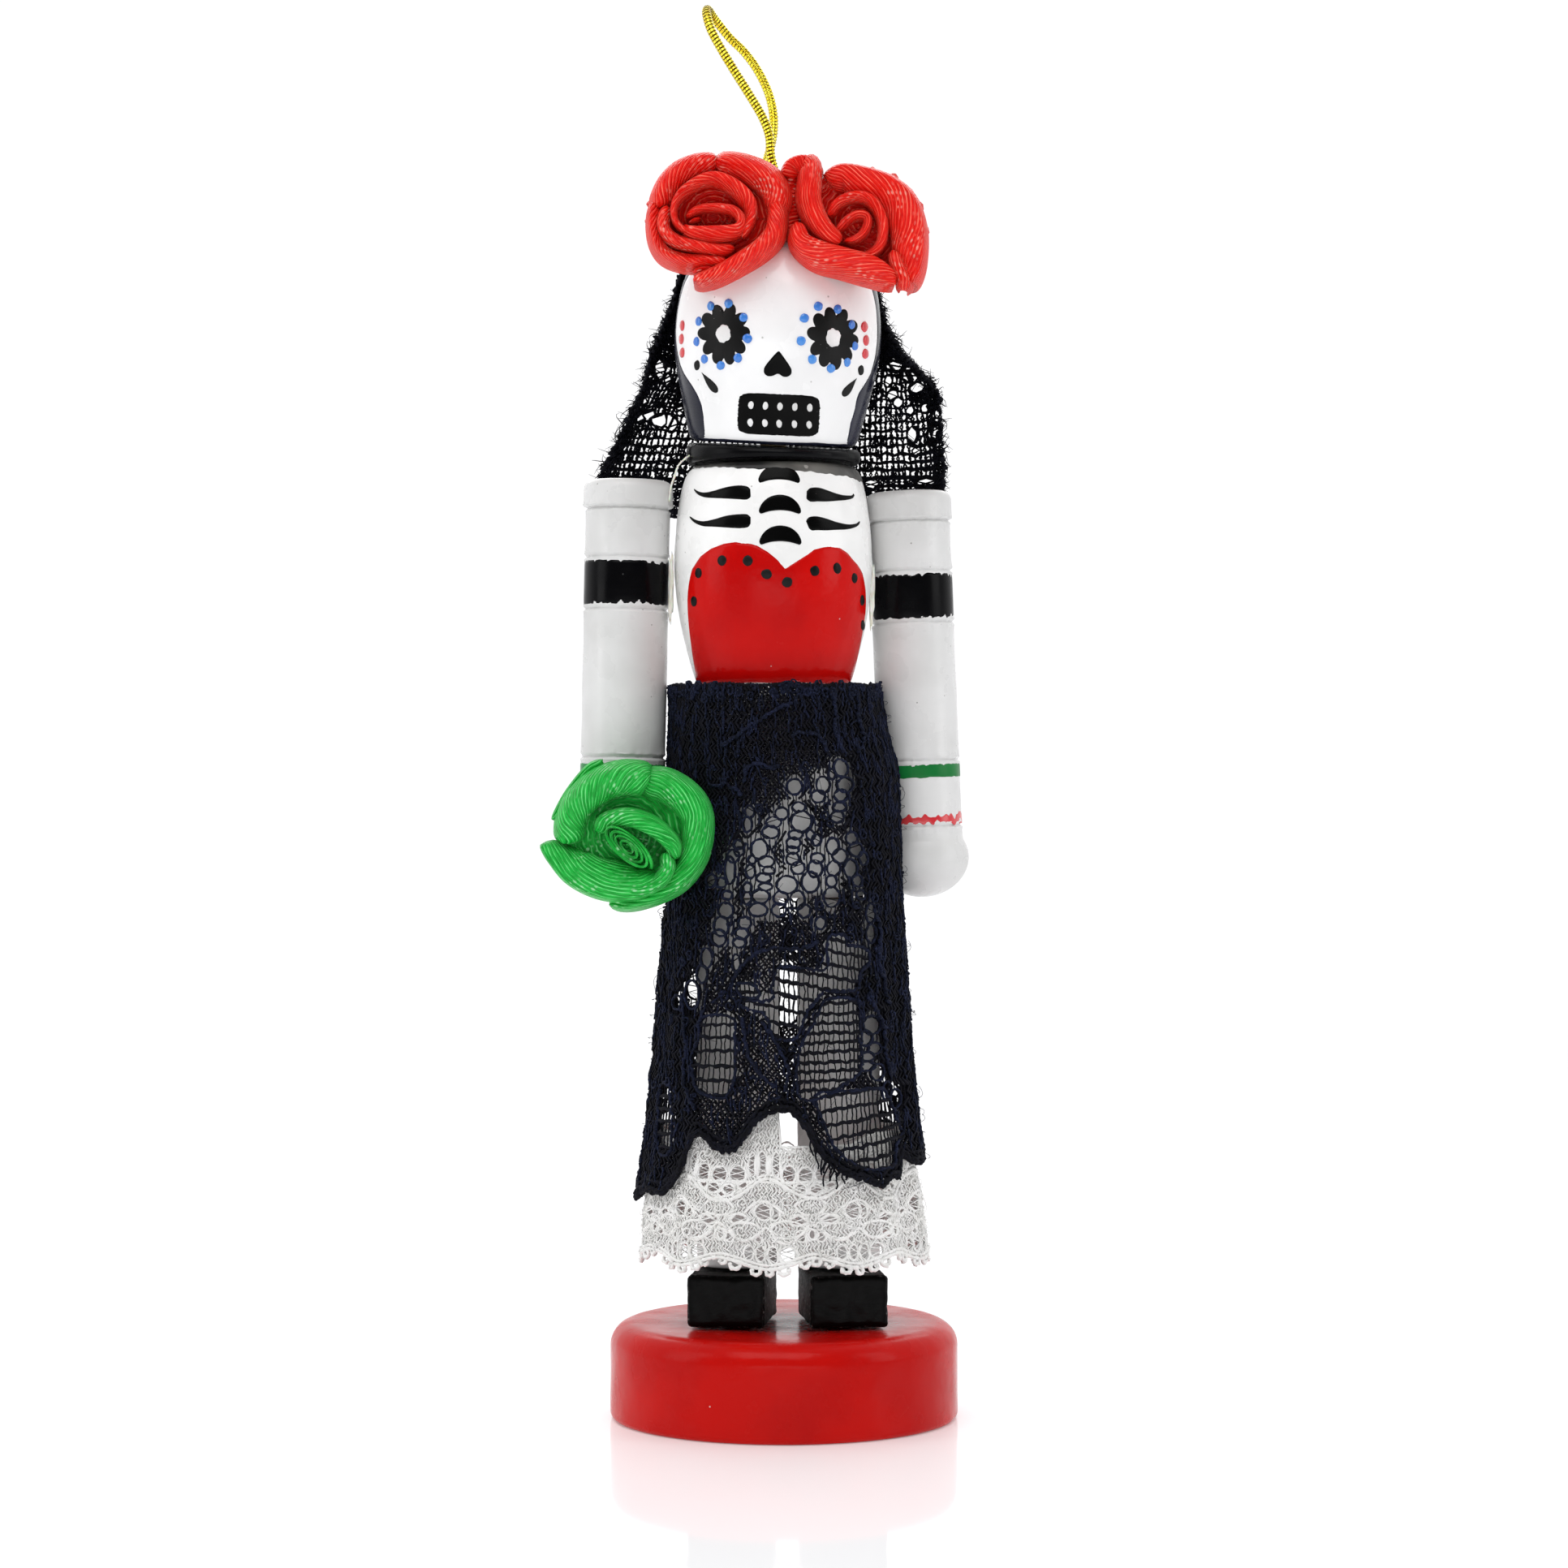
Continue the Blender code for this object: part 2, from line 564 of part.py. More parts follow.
def build():
    clear_scene()
    make_base(paint("base_red", RED_PAINT, 0.35))
    pin_wood = paint("pin_wood", BARE_WOOD, 0.7)
    for side in LEG_X:
        make_shoe(side, paint("shoe_black_" + side, BLACK_PAINT, 0.3))
        make_leg(side, paint("leg_white_" + side, WHITE_PAINT, 0.4))
        make_pin("foot_dowel_" + side, LEG_X[side], FOOT_PIN_BOTTOM, FOOT_PIN_TOP, pin_wood)
        make_pin("hip_dowel_" + side, LEG_X[side], HIP_PIN_BOTTOM, HIP_PIN_TOP, pin_wood)
    make_hips(paint("hip_white", WHITE_PAINT, 0.4))
    make_torso(paint("torso_white", WHITE_PAINT, 0.35))
    make_collar(paint("collar_black", BLACK_PAINT, 0.3))
    make_head(paint("head_white", WHITE_PAINT, 0.35))
    make_pin("waist_dowel", TORSO_X, WAIST_PIN_BOTTOM, WAIST_PIN_TOP, pin_wood)
    make_pin("neck_dowel", TORSO_X, NECK_PIN_BOTTOM, NECK_PIN_TOP, pin_wood)
    for side in ARMS:
        make_arm(side, paint("arm_white_" + side, WHITE_PAINT, 0.4))
        make_glue(side, paint("glue_" + side, GLUE, 0.4))
    make_skirt(paint("lace_black", BLACK_LACE, 0.8))
    make_petticoat(paint("lace_white", WHITE_LACE, 0.8))
    make_veil(paint("veil_black", BLACK_LACE, 0.8))
    make_rose("rose_green", paint("ribbon_green", GREEN_RIBBON, 0.35))
    crown = crown_cutter()
    for side in ("left", "right"):
        cut(make_rose("rose_red_" + side, paint("ribbon_red_" + side, RED_RIBBON, 0.35)), crown)
    make_hanger(paint("gold_cord", GOLD_CORD, 0.3, 0.9))


build()
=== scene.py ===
"""Looks of the turned-wood Catrina ornament: paint, lace, ribbon roses and hanging cord.

Sizes are in millimetres and MM turns them into Blender's metres. The figure faces -Y and
"left" is -X, as in the CAD. Angles round a turned piece run from its front towards +X.
"""

import math

import bpy
import numpy as np
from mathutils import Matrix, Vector, noise


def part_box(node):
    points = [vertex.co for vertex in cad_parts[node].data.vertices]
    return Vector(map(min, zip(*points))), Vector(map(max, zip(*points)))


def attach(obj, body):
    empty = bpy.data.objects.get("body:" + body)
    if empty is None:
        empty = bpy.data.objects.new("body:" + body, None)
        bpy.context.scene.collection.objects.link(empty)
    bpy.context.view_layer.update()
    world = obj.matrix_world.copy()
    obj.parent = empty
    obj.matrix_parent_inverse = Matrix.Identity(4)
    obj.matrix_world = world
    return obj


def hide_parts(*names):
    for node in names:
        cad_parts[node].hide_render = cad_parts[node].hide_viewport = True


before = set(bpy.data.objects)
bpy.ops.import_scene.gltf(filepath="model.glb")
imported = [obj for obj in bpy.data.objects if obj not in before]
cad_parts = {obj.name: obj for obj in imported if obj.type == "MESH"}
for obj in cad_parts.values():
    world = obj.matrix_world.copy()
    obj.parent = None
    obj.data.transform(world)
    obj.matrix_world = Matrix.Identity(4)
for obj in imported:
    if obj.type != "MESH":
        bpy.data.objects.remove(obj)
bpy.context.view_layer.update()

MM = 0.001
BODY = "root"
TAU = math.tau

# ---------------------------------------------------------------- small tools


def rnd(seed):
    return np.random.default_rng(seed)


def with_neighbours(values):
    """Each value of a loop plus the one before it and the one after it."""
    return values + np.roll(values, 1) + np.roll(values, -1)


def smooth_path(points, spacing, closed=False):
    """Points about every spacing along a Catmull-Rom curve through points, of any width."""
    p = np.asarray(points, float)
    if closed:
        ends = np.vstack([p[-1:], p, p[:2]])
    else:
        ends = np.vstack([2 * p[0] - p[1], p, 2 * p[-1] - p[-2]])
    t = np.linspace(0, 1, 17)[:-1, None]
    parts = []
    for a, b, c, d in zip(ends, ends[1:], ends[2:], ends[3:]):
        parts.append(0.5 * (2 * b + (c - a) * t + (2 * a - 5 * b + 4 * c - d) * t ** 2
                            + (3 * b - a - 3 * c + d) * t ** 3))
    fine = np.vstack(parts + [p[:1] if closed else p[-1:]])
    run = np.concatenate([[0], np.cumsum(np.linalg.norm(np.diff(fine, axis=0), axis=1))])
    count = max(3, int(round(run[-1] / spacing)) + 1)
    goal = np.linspace(0, run[-1], count)
    out = np.column_stack([np.interp(goal, run, fine[:, i]) for i in range(p.shape[1])])
    return out[:-1] if closed else out


def new_object(name, verts, faces, material, slot, smooth=True, sharp=None, uv=None):
    """A piece from vertices in millimetres. uv is one (u, v) for each vertex."""
    mesh = bpy.data.meshes.new(name)
    mesh.from_pydata((np.asarray(verts, float) * MM).tolist(), [], faces)
    if smooth:
        mesh.shade_smooth()
    if sharp:
        mesh.set_sharp_from_angle(angle=math.radians(sharp))
    if uv is not None:
        layer = mesh.uv_layers.new(name="UVMap")
        index = np.empty(len(mesh.loops), int)
        mesh.loops.foreach_get("vertex_index", index)
        layer.data.foreach_set("uv", np.asarray(uv, float)[index].ravel())
    mesh.materials.append(material)
    thing = bpy.data.objects.new(name, mesh)
    bpy.context.scene.collection.objects.link(thing)
    if slot:
        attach(thing, BODY)
    return thing


def grid_faces(rows, columns, wrap=False, start=0, flip=False):
    """Quads over a grid of vertices stored row by row."""
    faces = []
    last = columns if wrap else columns - 1
    for i in range(rows - 1):
        for j in range(last):
            k = (j + 1) % columns
            a, b = start + i * columns + j, start + i * columns + k
            quad = (a, b, b + columns, a + columns)
            faces.append(quad[::-1] if flip else quad)
    return faces


def join(parts):
    """Several (verts, faces) as one."""
    verts, faces, base = [], [], 0
    for v, f in parts:
        verts.append(v)
        faces += [tuple(i + base for i in face) for face in f]
        base += len(v)
    return np.vstack(verts), faces


def slab(top, bottom):
    """A closed thin body between two grids of points with the same layout (rows, columns, 3)."""
    rows, columns = top.shape[:2]
    verts = np.vstack([top.reshape(-1, 3), bottom.reshape(-1, 3)])
    low = rows * columns
    faces = grid_faces(rows, columns) + grid_faces(rows, columns, start=low, flip=True)
    edge = list(range(columns))
    edge += [i * columns + columns - 1 for i in range(1, rows)]
    edge += [(rows - 1) * columns + j for j in range(columns - 2, -1, -1)]
    edge += [i * columns for i in range(rows - 2, 0, -1)]
    for a, b in zip(edge, edge[1:] + edge[:1]):
        faces.append((b, a, a + low, b + low))
    return verts, faces


# ---------------------------------------------------------------- turned pieces


class Turned:
    """A turned surface: (radius, height) along its profile, from low to high."""

    def __init__(self, profile, spacing=0.5):
        self.profile = smooth_path(profile, spacing)
        steps = np.linalg.norm(np.diff(self.profile, axis=0), axis=1)
        self.run = np.concatenate([[0], np.cumsum(steps)])

    def at_height(self, height):
        return np.interp(height, self.profile[:, 1], self.run)

    def at_run(self, run):
        """Radius and height a distance run up the profile."""
        return [np.interp(run, self.run, self.profile[:, i]) for i in range(2)]

    def point(self, run, angle, lift=0.0):
        """The surface point a distance run up the profile, raised by lift."""
        run, angle, lift = np.broadcast_arrays(run, angle, lift)
        r, z = self.at_run(run)
        (r0, z0), (r1, z1) = self.at_run(run - 0.2), self.at_run(run + 0.2)
        dr, dz = r1 - r0, z1 - z0
        size = np.hypot(dr, dz) + 1e-9
        r = r + lift * dz / size
        z = z - lift * dr / size
        return np.stack([r * np.sin(angle), -r * np.cos(angle), z], axis=-1)

    def front(self, x, height, lift=0.0):
        """The point at x across and height up on the front, raised by lift."""
        run = self.at_height(height)
        r, _ = self.at_run(run)
        return self.point(run, np.arcsin(np.clip(x / r, -0.995, 0.995)), lift)


def wobble(verts, size, scale, seed=0.0):
    """Move each vertex a little along its own radius, so that a turning is not perfect."""
    out = []
    for x, y, z in verts:
        amount = size * noise.noise(Vector((x * scale + seed, y * scale, z * scale)))
        r = math.hypot(x, y) + 1e-6
        out.append((x + amount * x / r, y + amount * y / r, z))
    return np.array(out)


def spin(name, profile, segments, material, slot, rough=0.04, seed=0.0, sharp=None):
    """A closed turning from a full profile that starts and ends on the axis."""
    inner = np.asarray(profile[1:-1], float)
    angle = np.arange(segments) * TAU / segments
    r, z = inner[:, 0, None], inner[:, 1, None]
    ring = np.stack([r * np.sin(angle), -r * np.cos(angle), z + 0 * angle], axis=-1)
    verts = wobble(ring.reshape(-1, 3), rough, 0.35, seed)
    count = len(verts)
    verts = np.vstack([verts, [(0, 0, profile[0][1])], [(0, 0, profile[-1][1])]])
    faces = grid_faces(len(inner), segments, wrap=True)
    top = count - segments
    for j in range(segments):
        k = (j + 1) % segments
        faces.append((count, k, j))
        faces.append((count + 1, top + j, top + k))
    return new_object(name, verts, faces, material, slot, sharp=sharp)


DOMES = {"dot": 2.0, "flat": 9.0}
DOME_RINGS = (1.0, 0.985, 0.95, 0.88, 0.76, 0.6, 0.42, 0.22)


def blob(skin, centre, outline, height, dome="flat", base=0.0):
    """Raised paint inside an outline of (x, height) offsets round a centre on the front."""
    outline = np.asarray(outline, float)
    n = len(outline)
    rings = [(1.0, base - 0.1), (1.0, base)] + [
        (s, base + height * (1 - s ** DOMES[dome]) ** 0.5) for s in DOME_RINGS[1:]]
    verts = [skin.front(centre[0] + outline[:, 0] * s, centre[1] + outline[:, 1] * s, lift)
             for s, lift in rings]
    verts.append(skin.front(np.array([centre[0]]), np.array([centre[1]]), base + height))
    verts.append(skin.front(np.array([centre[0]]), np.array([centre[1]]), base - 0.1))
    faces = grid_faces(len(rings), n, wrap=True)
    low, high = (len(rings) - 1) * n, len(rings) * n
    for j in range(n):
        k = (j + 1) % n
        faces.append((low + j, low + k, high))
        faces.append((k, j, high + 1))
    return np.vstack(verts), faces


def oval(rx, rz, n=20, lean=0.0, seed=None, rough=0.04):
    a = np.arange(n) * TAU / n
    x, z = rx * np.cos(a), rz * np.sin(a)
    if seed is not None:
        bump = with_neighbours(rnd(seed).normal(0, rough, n)) / 1.7
        x, z = x * (1 + bump), z * (1 + bump)
    c, s = math.cos(lean), math.sin(lean)
    return np.column_stack([x * c - z * s, x * s + z * c])


def stroke(skin, line, height, across=7):
    """A raised brush stroke: (x, height, half width) along its middle."""
    line = smooth_path(line, 0.25)
    step = np.gradient(line[:, :2], axis=0)
    side = np.column_stack([-step[:, 1], step[:, 0]]) / (
        np.linalg.norm(step, axis=1)[:, None] + 1e-9)
    share = np.linspace(-1, 1, across)
    x = line[:, None, 0] + side[:, None, 0] * share * line[:, None, 2]
    z = line[:, None, 1] + side[:, None, 1] * share * line[:, None, 2]
    lift = height * np.sqrt(np.clip(1 - np.abs(share) ** 6, 0, 1)) * np.ones_like(x)
    lift[[0, -1]] = 0.0
    return slab(skin.front(x, z, lift), skin.front(x, z, -0.1 + 0 * x))


def band(skin, low, high, lift=0.05, columns=120, rough=0.05, seed=1):
    """A closed painted ring round a turning, between two heights up its profile."""
    draw = rnd(seed)
    angle = np.arange(columns) * TAU / columns
    edges = []
    for height in (low, high):
        bump = draw.normal(0, 1, columns)
        for _ in range(2):
            bump = with_neighbours(bump) / 3
        edges.append(skin.at_height(height) + bump * rough * 2)
    rings = [(0.0, -0.1), (0.0, 0.0), (0.06, lift * 0.8), (0.2, lift), (0.4, lift), (0.6, lift),
             (0.8, lift), (0.94, lift * 0.8), (1.0, 0.0), (1.0, -0.1)]
    verts = [skin.point(edges[0] + (edges[1] - edges[0]) * s, angle, up) for s, up in rings]
    faces = grid_faces(len(rings), columns, wrap=True)
    last = (len(rings) - 1) * columns
    for j in range(columns):
        k = (j + 1) % columns
        faces.append((last + j, last + k, k, j))
    return np.vstack(verts), faces


def shell(skin, columns, low_of, high_of, angles, rows=24, lift=0.07):
    """A painted patch between two edges, given as distances up the profile at each angle."""
    angle = np.linspace(angles[0], angles[1], columns)
    low, high = low_of(angle), high_of(angle)
    share = np.linspace(0, 1, rows)[:, None]
    run = low + (high - low) * share
    up = lift * np.clip(8 * np.minimum(share, 1 - share), 0, 1) ** 0.5
    edge = np.clip(np.minimum(np.arange(columns), np.arange(columns)[::-1]) / 2, 0, 1)
    return slab(skin.point(run, angle, up * edge), skin.point(run, angle, -0.1))


# ---------------------------------------------------------------- materials


class Nodes:
    """Short calls for building a node material."""

    def __init__(self, name):
        self.material = bpy.data.materials.new(name)
        self.material.use_nodes = True
        self.tree = self.material.node_tree
        self.shader = self.tree.nodes["Principled BSDF"]

    def feed(self, socket, value):
        """Link another node's output into a socket, or set the socket's own value."""
        if hasattr(value, "is_output"):
            self.tree.links.new(value, socket)
        else:
            socket.default_value = (*value, 1.0) if socket.type == 'RGBA' else value

    def node(self, kind, **settings):
        made = self.tree.nodes.new("ShaderNode" + kind)
        inputs = settings.pop("inputs", {})
        for key, value in settings.items():
            setattr(made, key, value)
        for key, value in inputs.items():
            self.feed(made.inputs[key], value)
        return made

    def place(self, scale=(1, 1, 1)):
        """Object coordinates, so that noise scales below count waves per metre."""
        where = self.node("TexCoord")
        stretch = self.node("Mapping", inputs={"Vector": where.outputs["Object"]})
        stretch.inputs["Scale"].default_value = scale
        return stretch.outputs["Vector"]

    def uv(self, scale=(1, 1, 1), turn=0.0):
        where = self.node("UVMap", uv_map="UVMap")
        stretch = self.node("Mapping", inputs={"Vector": where.outputs["UV"]})
        stretch.inputs["Scale"].default_value = scale
        stretch.inputs["Rotation"].default_value = (0, 0, turn)
        return stretch.outputs["Vector"]

    def noise(self, where, scale, detail=3.0, rough=0.5):
        made = self.node("TexNoise", inputs={"Vector": where, "Scale": scale, "Detail": detail,
                                             "Roughness": rough})
        return made.outputs["Fac"]

    def specks(self, where, scale, solid, gone, rarity):
        """Round specks in the rarer cells, solid near their middles and gone further out."""
        cells = self.node("TexVoronoi", feature='F1', inputs={"Vector": where, "Scale": scale})
        chance = self.node("SeparateColor", inputs={"Color": cells.outputs["Color"]}).outputs[0]
        spot = self.ramp(cells.outputs["Distance"], (solid, 1.0), (gone, 0.0))
        return self.math('MULTIPLY', spot, self.math('GREATER_THAN', chance, rarity))

    def ramp(self, value, *stops, smooth=True):
        """Map a value through (position, colour or level) stops."""
        made = self.node("ValToRGB", inputs={"Fac": value})
        made.color_ramp.interpolation = 'EASE' if smooth else 'LINEAR'
        points = made.color_ramp.elements
        while len(points) < len(stops):
            points.new(0.5)
        for point, (position, level) in zip(points, stops):
            point.position = position
            colour = level if isinstance(level, tuple) else (level, level, level)
            point.color = (*colour, 1.0)
        return made.outputs["Color"]

    def mix(self, factor, low, high, blend='MIX'):
        made = self.node("Mix", data_type='RGBA', blend_type=blend)
        for key, value in ((0, factor), (6, low), (7, high)):
            self.feed(made.inputs[key], value)
        return made.outputs[2]

    def math(self, operation, a, b=0.0):
        made = self.node("Math", operation=operation)
        for key, value in ((0, a), (1, b)):
            self.feed(made.inputs[key], value)
        return made.outputs[0]

    def height(self):
        """World height in millimetres."""
        where = self.node("NewGeometry")
        split = self.node("SeparateXYZ", inputs={"Vector": where.outputs["Position"]})
        return self.math('MULTIPLY', split.outputs["Z"], 1000.0)

    def finish(self, colour=None, rough=None, bump=None, depth=0.05, **values):
        """Link or set the shader's inputs. depth is the bump height in millimetres."""
        for key, value in (("Base Color", colour), ("Roughness", rough)):
            if value is not None:
                self.feed(self.shader.inputs[key], value)
        if bump is not None:
            made = self.node("Bump", inputs={"Height": bump, "Distance": depth * MM})
            made.inputs["Strength"].default_value = 1.0
            self.tree.links.new(made.outputs["Normal"], self.shader.inputs["Normal"])
        for key, value in values.items():
            self.feed(self.shader.inputs[key.replace("_", " ")], value)
        return self.material


def enamel(name, colour, dark, rough=0.25, pits=900.0, pit_size=0.10, pit_colour=None,
           peel=420.0, depth=0.03, coat=0.0, lathe=True, stain_and_highlight=0.5, gloss=0.4):
    """Brushed and sprayed paint on turned wood: peel, lathe lines, pores and specks."""
    m = Nodes(name)
    here = m.place()
    slow = m.noise(here, 110.0, 3.0)
    # random mottling towards the second colour: real grime on most paints, painted highlight on the
    # black shoulder paint, whose second colour is grey
    grime_and_highlight = m.ramp(m.noise(m.place((1, 1, 2.2)), 320.0, 6.0, 0.65), (0.52, 0.0), (0.78, 1.0))
    tint = m.mix(m.ramp(slow, (0.35, 0.0), (0.7, 1.0)), colour, dark)
    tint = m.mix(m.math('MULTIPLY', grime_and_highlight, stain_and_highlight * 0.35), tint, dark)
    pit = m.specks(here, pits, pit_size * 0.6, pit_size, 0.80)
    tint = m.mix(m.math('MULTIPLY', pit, 0.8), tint, pit_colour or dark)
    wave = m.math('MULTIPLY', m.noise(here, peel, 2.0), 0.6)
    if lathe:
        lines = m.noise(m.place((0.12, 0.12, 1.0)), 1500.0, 4.0, 0.6)
        wave = m.math('ADD', wave, m.math('MULTIPLY', lines, 0.45))
    wave = m.math('SUBTRACT', wave, m.math('MULTIPLY', pit, 1.2))
    shine = m.ramp(m.noise(here, 260.0, 4.0), (0.3, max(0.05, rough - 0.07)), (0.75, rough + 0.12))
    return m.finish(tint, shine, wave, depth, Coat_Weight=coat, Coat_Roughness=0.12,
                    Specular_IOR_Level=gloss)


def satin(name, colour, deep, painted_glint_and_sheen_tint):
    """Ribbon satin with painted highlights: pale streaks along the yarn and glint dashes in
    patches. U runs along the ribbon and V across it, both in millimetres.
    """
    m = Nodes(name)
    along = m.uv()
    yarn = m.node("TexWave", wave_type='BANDS', bands_direction='Y', wave_profile='SIN',
                  inputs={"Vector": along, "Scale": 0.74, "Distortion": 1.1,
                          "Detail": 2.0, "Detail Scale": 0.6}).outputs["Fac"]
    fine = m.noise(m.uv((0.40, 5.0, 1)), 1.0, 3.0, 0.6)
    dash = m.node("TexVoronoi", feature='F1', inputs={
        "Vector": m.uv((0.95, 2.1, 1), 0.25), "Scale": 1.0, "Randomness": 0.3})
    spot = m.ramp(dash.outputs["Distance"], (0.16, 1.0), (0.36, 0.0))
    patch = m.ramp(m.noise(along, 0.24, 2.0), (0.50, 0.0), (0.66, 1.0))
    spot = m.math('MULTIPLY', spot, patch)
    tint = m.mix(m.ramp(fine, (0.34, 0.0), (0.60, 1.0)), deep, colour)
    tint = m.mix(m.math('MULTIPLY', m.ramp(yarn, (0.1, 1.0), (0.5, 0.0)), 0.6), tint, deep)
    # painted highlight: pale streaks where yarn and fibre noise are high, then painted glint dashes
    # in random patches
    painted_yarn_highlight = m.ramp(m.math('MULTIPLY', yarn, fine), (0.40, 0.0), (0.62, 0.5))
    tint = m.mix(painted_yarn_highlight, tint, painted_glint_and_sheen_tint)
    tint = m.mix(m.math('MULTIPLY', spot, 0.75), tint, tuple(0.2 + 0.8 * c for c in painted_glint_and_sheen_tint))
    ridge = m.math('ADD', m.math('MULTIPLY', fine, 0.5), m.math('MULTIPLY', yarn, 0.9))
    ridge = m.math('ADD', ridge, m.math('MULTIPLY', spot, 0.5))
    return m.finish(tint, m.ramp(fine, (0.2, 0.26), (0.8, 0.42)), ridge, 0.13,
                    Anisotropic=0.6, Specular_IOR_Level=0.22, Sheen_Weight=0.12,
                    Sheen_Roughness=0.35, Sheen_Tint=painted_glint_and_sheen_tint, Subsurface_Weight=0.03,
                    Subsurface_Radius=(1.0, 0.3, 0.2), Subsurface_Scale=0.0006)


def thread(name, colour, deep, painted_highlight_and_sheen_tint, rough=0.75):
    """Cotton or rayon lace yarn, with fine plied fibres and a painted highlight on the plies."""
    m = Nodes(name)
    here = m.place()
    ply = m.noise(here, 5200.0, 3.0, 0.7)
    slow = m.noise(here, 420.0, 2.0)
    tint = m.mix(m.ramp(slow, (0.4, 0.0), (0.65, 1.0)), deep, colour)
    # painted highlight: the plies lighten towards the highlight colour
    tint = m.mix(m.ramp(ply, (0.45, 0.0), (0.75, 0.55)), tint, painted_highlight_and_sheen_tint)
    return m.finish(tint, rough, ply, 0.08, Sheen_Weight=0.12, Sheen_Roughness=0.5,
                    Sheen_Tint=painted_highlight_and_sheen_tint, Specular_IOR_Level=0.12)


def make_materials():
    mats = {}
    mats["white"] = enamel("paint_white", (0.90, 0.90, 0.89), (0.80, 0.80, 0.79), 0.30,
                           pit_colour=(0.30, 0.29, 0.27))
    # painted shade: the arms get a darker copy of the same white paint, for the darker look they
    # have under the lamps
    mats["arm_white"] = enamel("paint_arm_white", (0.72, 0.72, 0.715), (0.63, 0.63, 0.62), 0.30,
                               pit_colour=(0.26, 0.25, 0.23))
    mats["face_white"] = enamel("paint_face_white", (0.93, 0.93, 0.93), (0.86, 0.86, 0.86), 0.2,
                                pits=700.0, pit_colour=(0.45, 0.44, 0.42), depth=0.015,
                                lathe=False, coat=0.3, stain_and_highlight=0.3)
    mats["red"] = enamel("paint_red", (0.56, 0.004, 0.003), (0.46, 0.002, 0.002), 0.2,
                         pits=520.0, pit_size=0.06, pit_colour=(0.85, 0.50, 0.48), peel=1100.0,
                         depth=0.075, lathe=False, gloss=0.09)
    mats["black"] = enamel("paint_black", (0.0015, 0.0015, 0.002), (0.004, 0.004, 0.005), 0.22,
                           pits=600.0, pit_size=0.08, pit_colour=(0.05, 0.05, 0.05), depth=0.02,
                           gloss=0.08)
    mats["hair"] = enamel("paint_hair", (0.007, 0.008, 0.018), (0.016, 0.017, 0.034), 0.2,
                          pits=600.0, pit_colour=(0.05, 0.05, 0.07), depth=0.03, gloss=0.2)
    mats["motif"] = enamel("paint_motif", (0.005, 0.005, 0.005), (0.014, 0.014, 0.014), 0.35,
                           pits=1400.0, pit_colour=(0.12, 0.12, 0.12), depth=0.02, lathe=False,
                           gloss=0.10)
    mats["blue"] = enamel("paint_blue", (0.03, 0.17, 0.62), (0.05, 0.26, 0.72), 0.18,
                          depth=0.01, coat=0.6, lathe=False)
    mats["dot_red"] = enamel("paint_dot_red", (0.62, 0.02, 0.03), (0.75, 0.10, 0.10), 0.18,
                             depth=0.01, coat=0.6, lathe=False)
    mats["green"] = enamel("paint_green", (0.005, 0.16, 0.03), (0.01, 0.22, 0.05), 0.35,
                           pit_colour=(0.6, 0.7, 0.6), depth=0.02, gloss=0.2)
    # the third colour of each satin is its painted highlight, also used as the sheen tint
    mats["satin_red"] = satin("satin_red", (1.0, 0.016, 0.006), (0.70, 0.003, 0.001),
                              (1.0, 0.36, 0.24))
    mats["satin_green"] = satin("satin_green", (0.020, 0.66, 0.080), (0.005, 0.30, 0.028),
                                (0.36, 1.0, 0.44))
    # the fourth colour of each thread is its painted highlight, also used as the sheen tint
    mats["lace_black"] = thread("lace_black", (0.004, 0.004, 0.007), (0.002, 0.002, 0.003),
                                (0.014, 0.016, 0.036))
    mats["lace_boucle"] = thread("lace_boucle", (0.005, 0.007, 0.020), (0.002, 0.003, 0.008),
                                 (0.035, 0.048, 0.12))
    mats["lace_white"] = thread("lace_white", (0.95, 0.945, 0.93), (0.90, 0.895, 0.87),
                                (1.0, 1.0, 1.0))
    mats["motif_gloss"] = enamel("paint_motif_gloss", (0.0015, 0.0015, 0.0015),
                                 (0.004, 0.004, 0.004), 0.2, pits=1400.0, pit_size=0.06,
                                 pit_colour=(0.12, 0.12, 0.12), depth=0.02, lathe=False,
                                 gloss=0.06)
    mats["dab_white"] = enamel("paint_dab_white", (0.84, 0.84, 0.84), (0.66, 0.66, 0.65), 0.25,
                               depth=0.02, lathe=False)
    # black shoulder paint mottled grey: partly the brushed paint's own grey, partly painted
    # highlight where the rough paint on the torso's top catches light from above
    mats["smear"] = enamel("paint_smear", (0.010, 0.010, 0.010), (0.16, 0.155, 0.14), 0.45,
                           pits=500.0, pit_size=0.2, pit_colour=(0.3, 0.29, 0.27), depth=0.12,
                           peel=700.0, stain_and_highlight=1.6)
    mats["base"] = make_base_material()
    mats["wood"] = make_wood()
    mats["glue"] = make_glue_material()
    mats["gold"] = make_gold()
    mats["shoe"] = make_shoe_material()
    return mats


def make_wood():
    m = Nodes("bare_wood")
    grain = m.noise(m.place((1, 1, 0.08)), 1400.0, 5.0, 0.6)
    tint = m.ramp(grain, (0.3, (0.36, 0.22, 0.11)), (0.7, (0.62, 0.45, 0.27)))
    return m.finish(tint, 0.7, grain, 0.05)


def make_glue_material():
    m = Nodes("dried_glue")
    cloud = m.noise(m.place(), 900.0, 3.0)
    tint = m.ramp(cloud, (0.3, (0.84, 0.80, 0.68)), (0.7, (0.92, 0.90, 0.84)))
    return m.finish(tint, 0.22, cloud, 0.06, Subsurface_Weight=0.3, Subsurface_Scale=0.0008,
                    Coat_Weight=0.4)


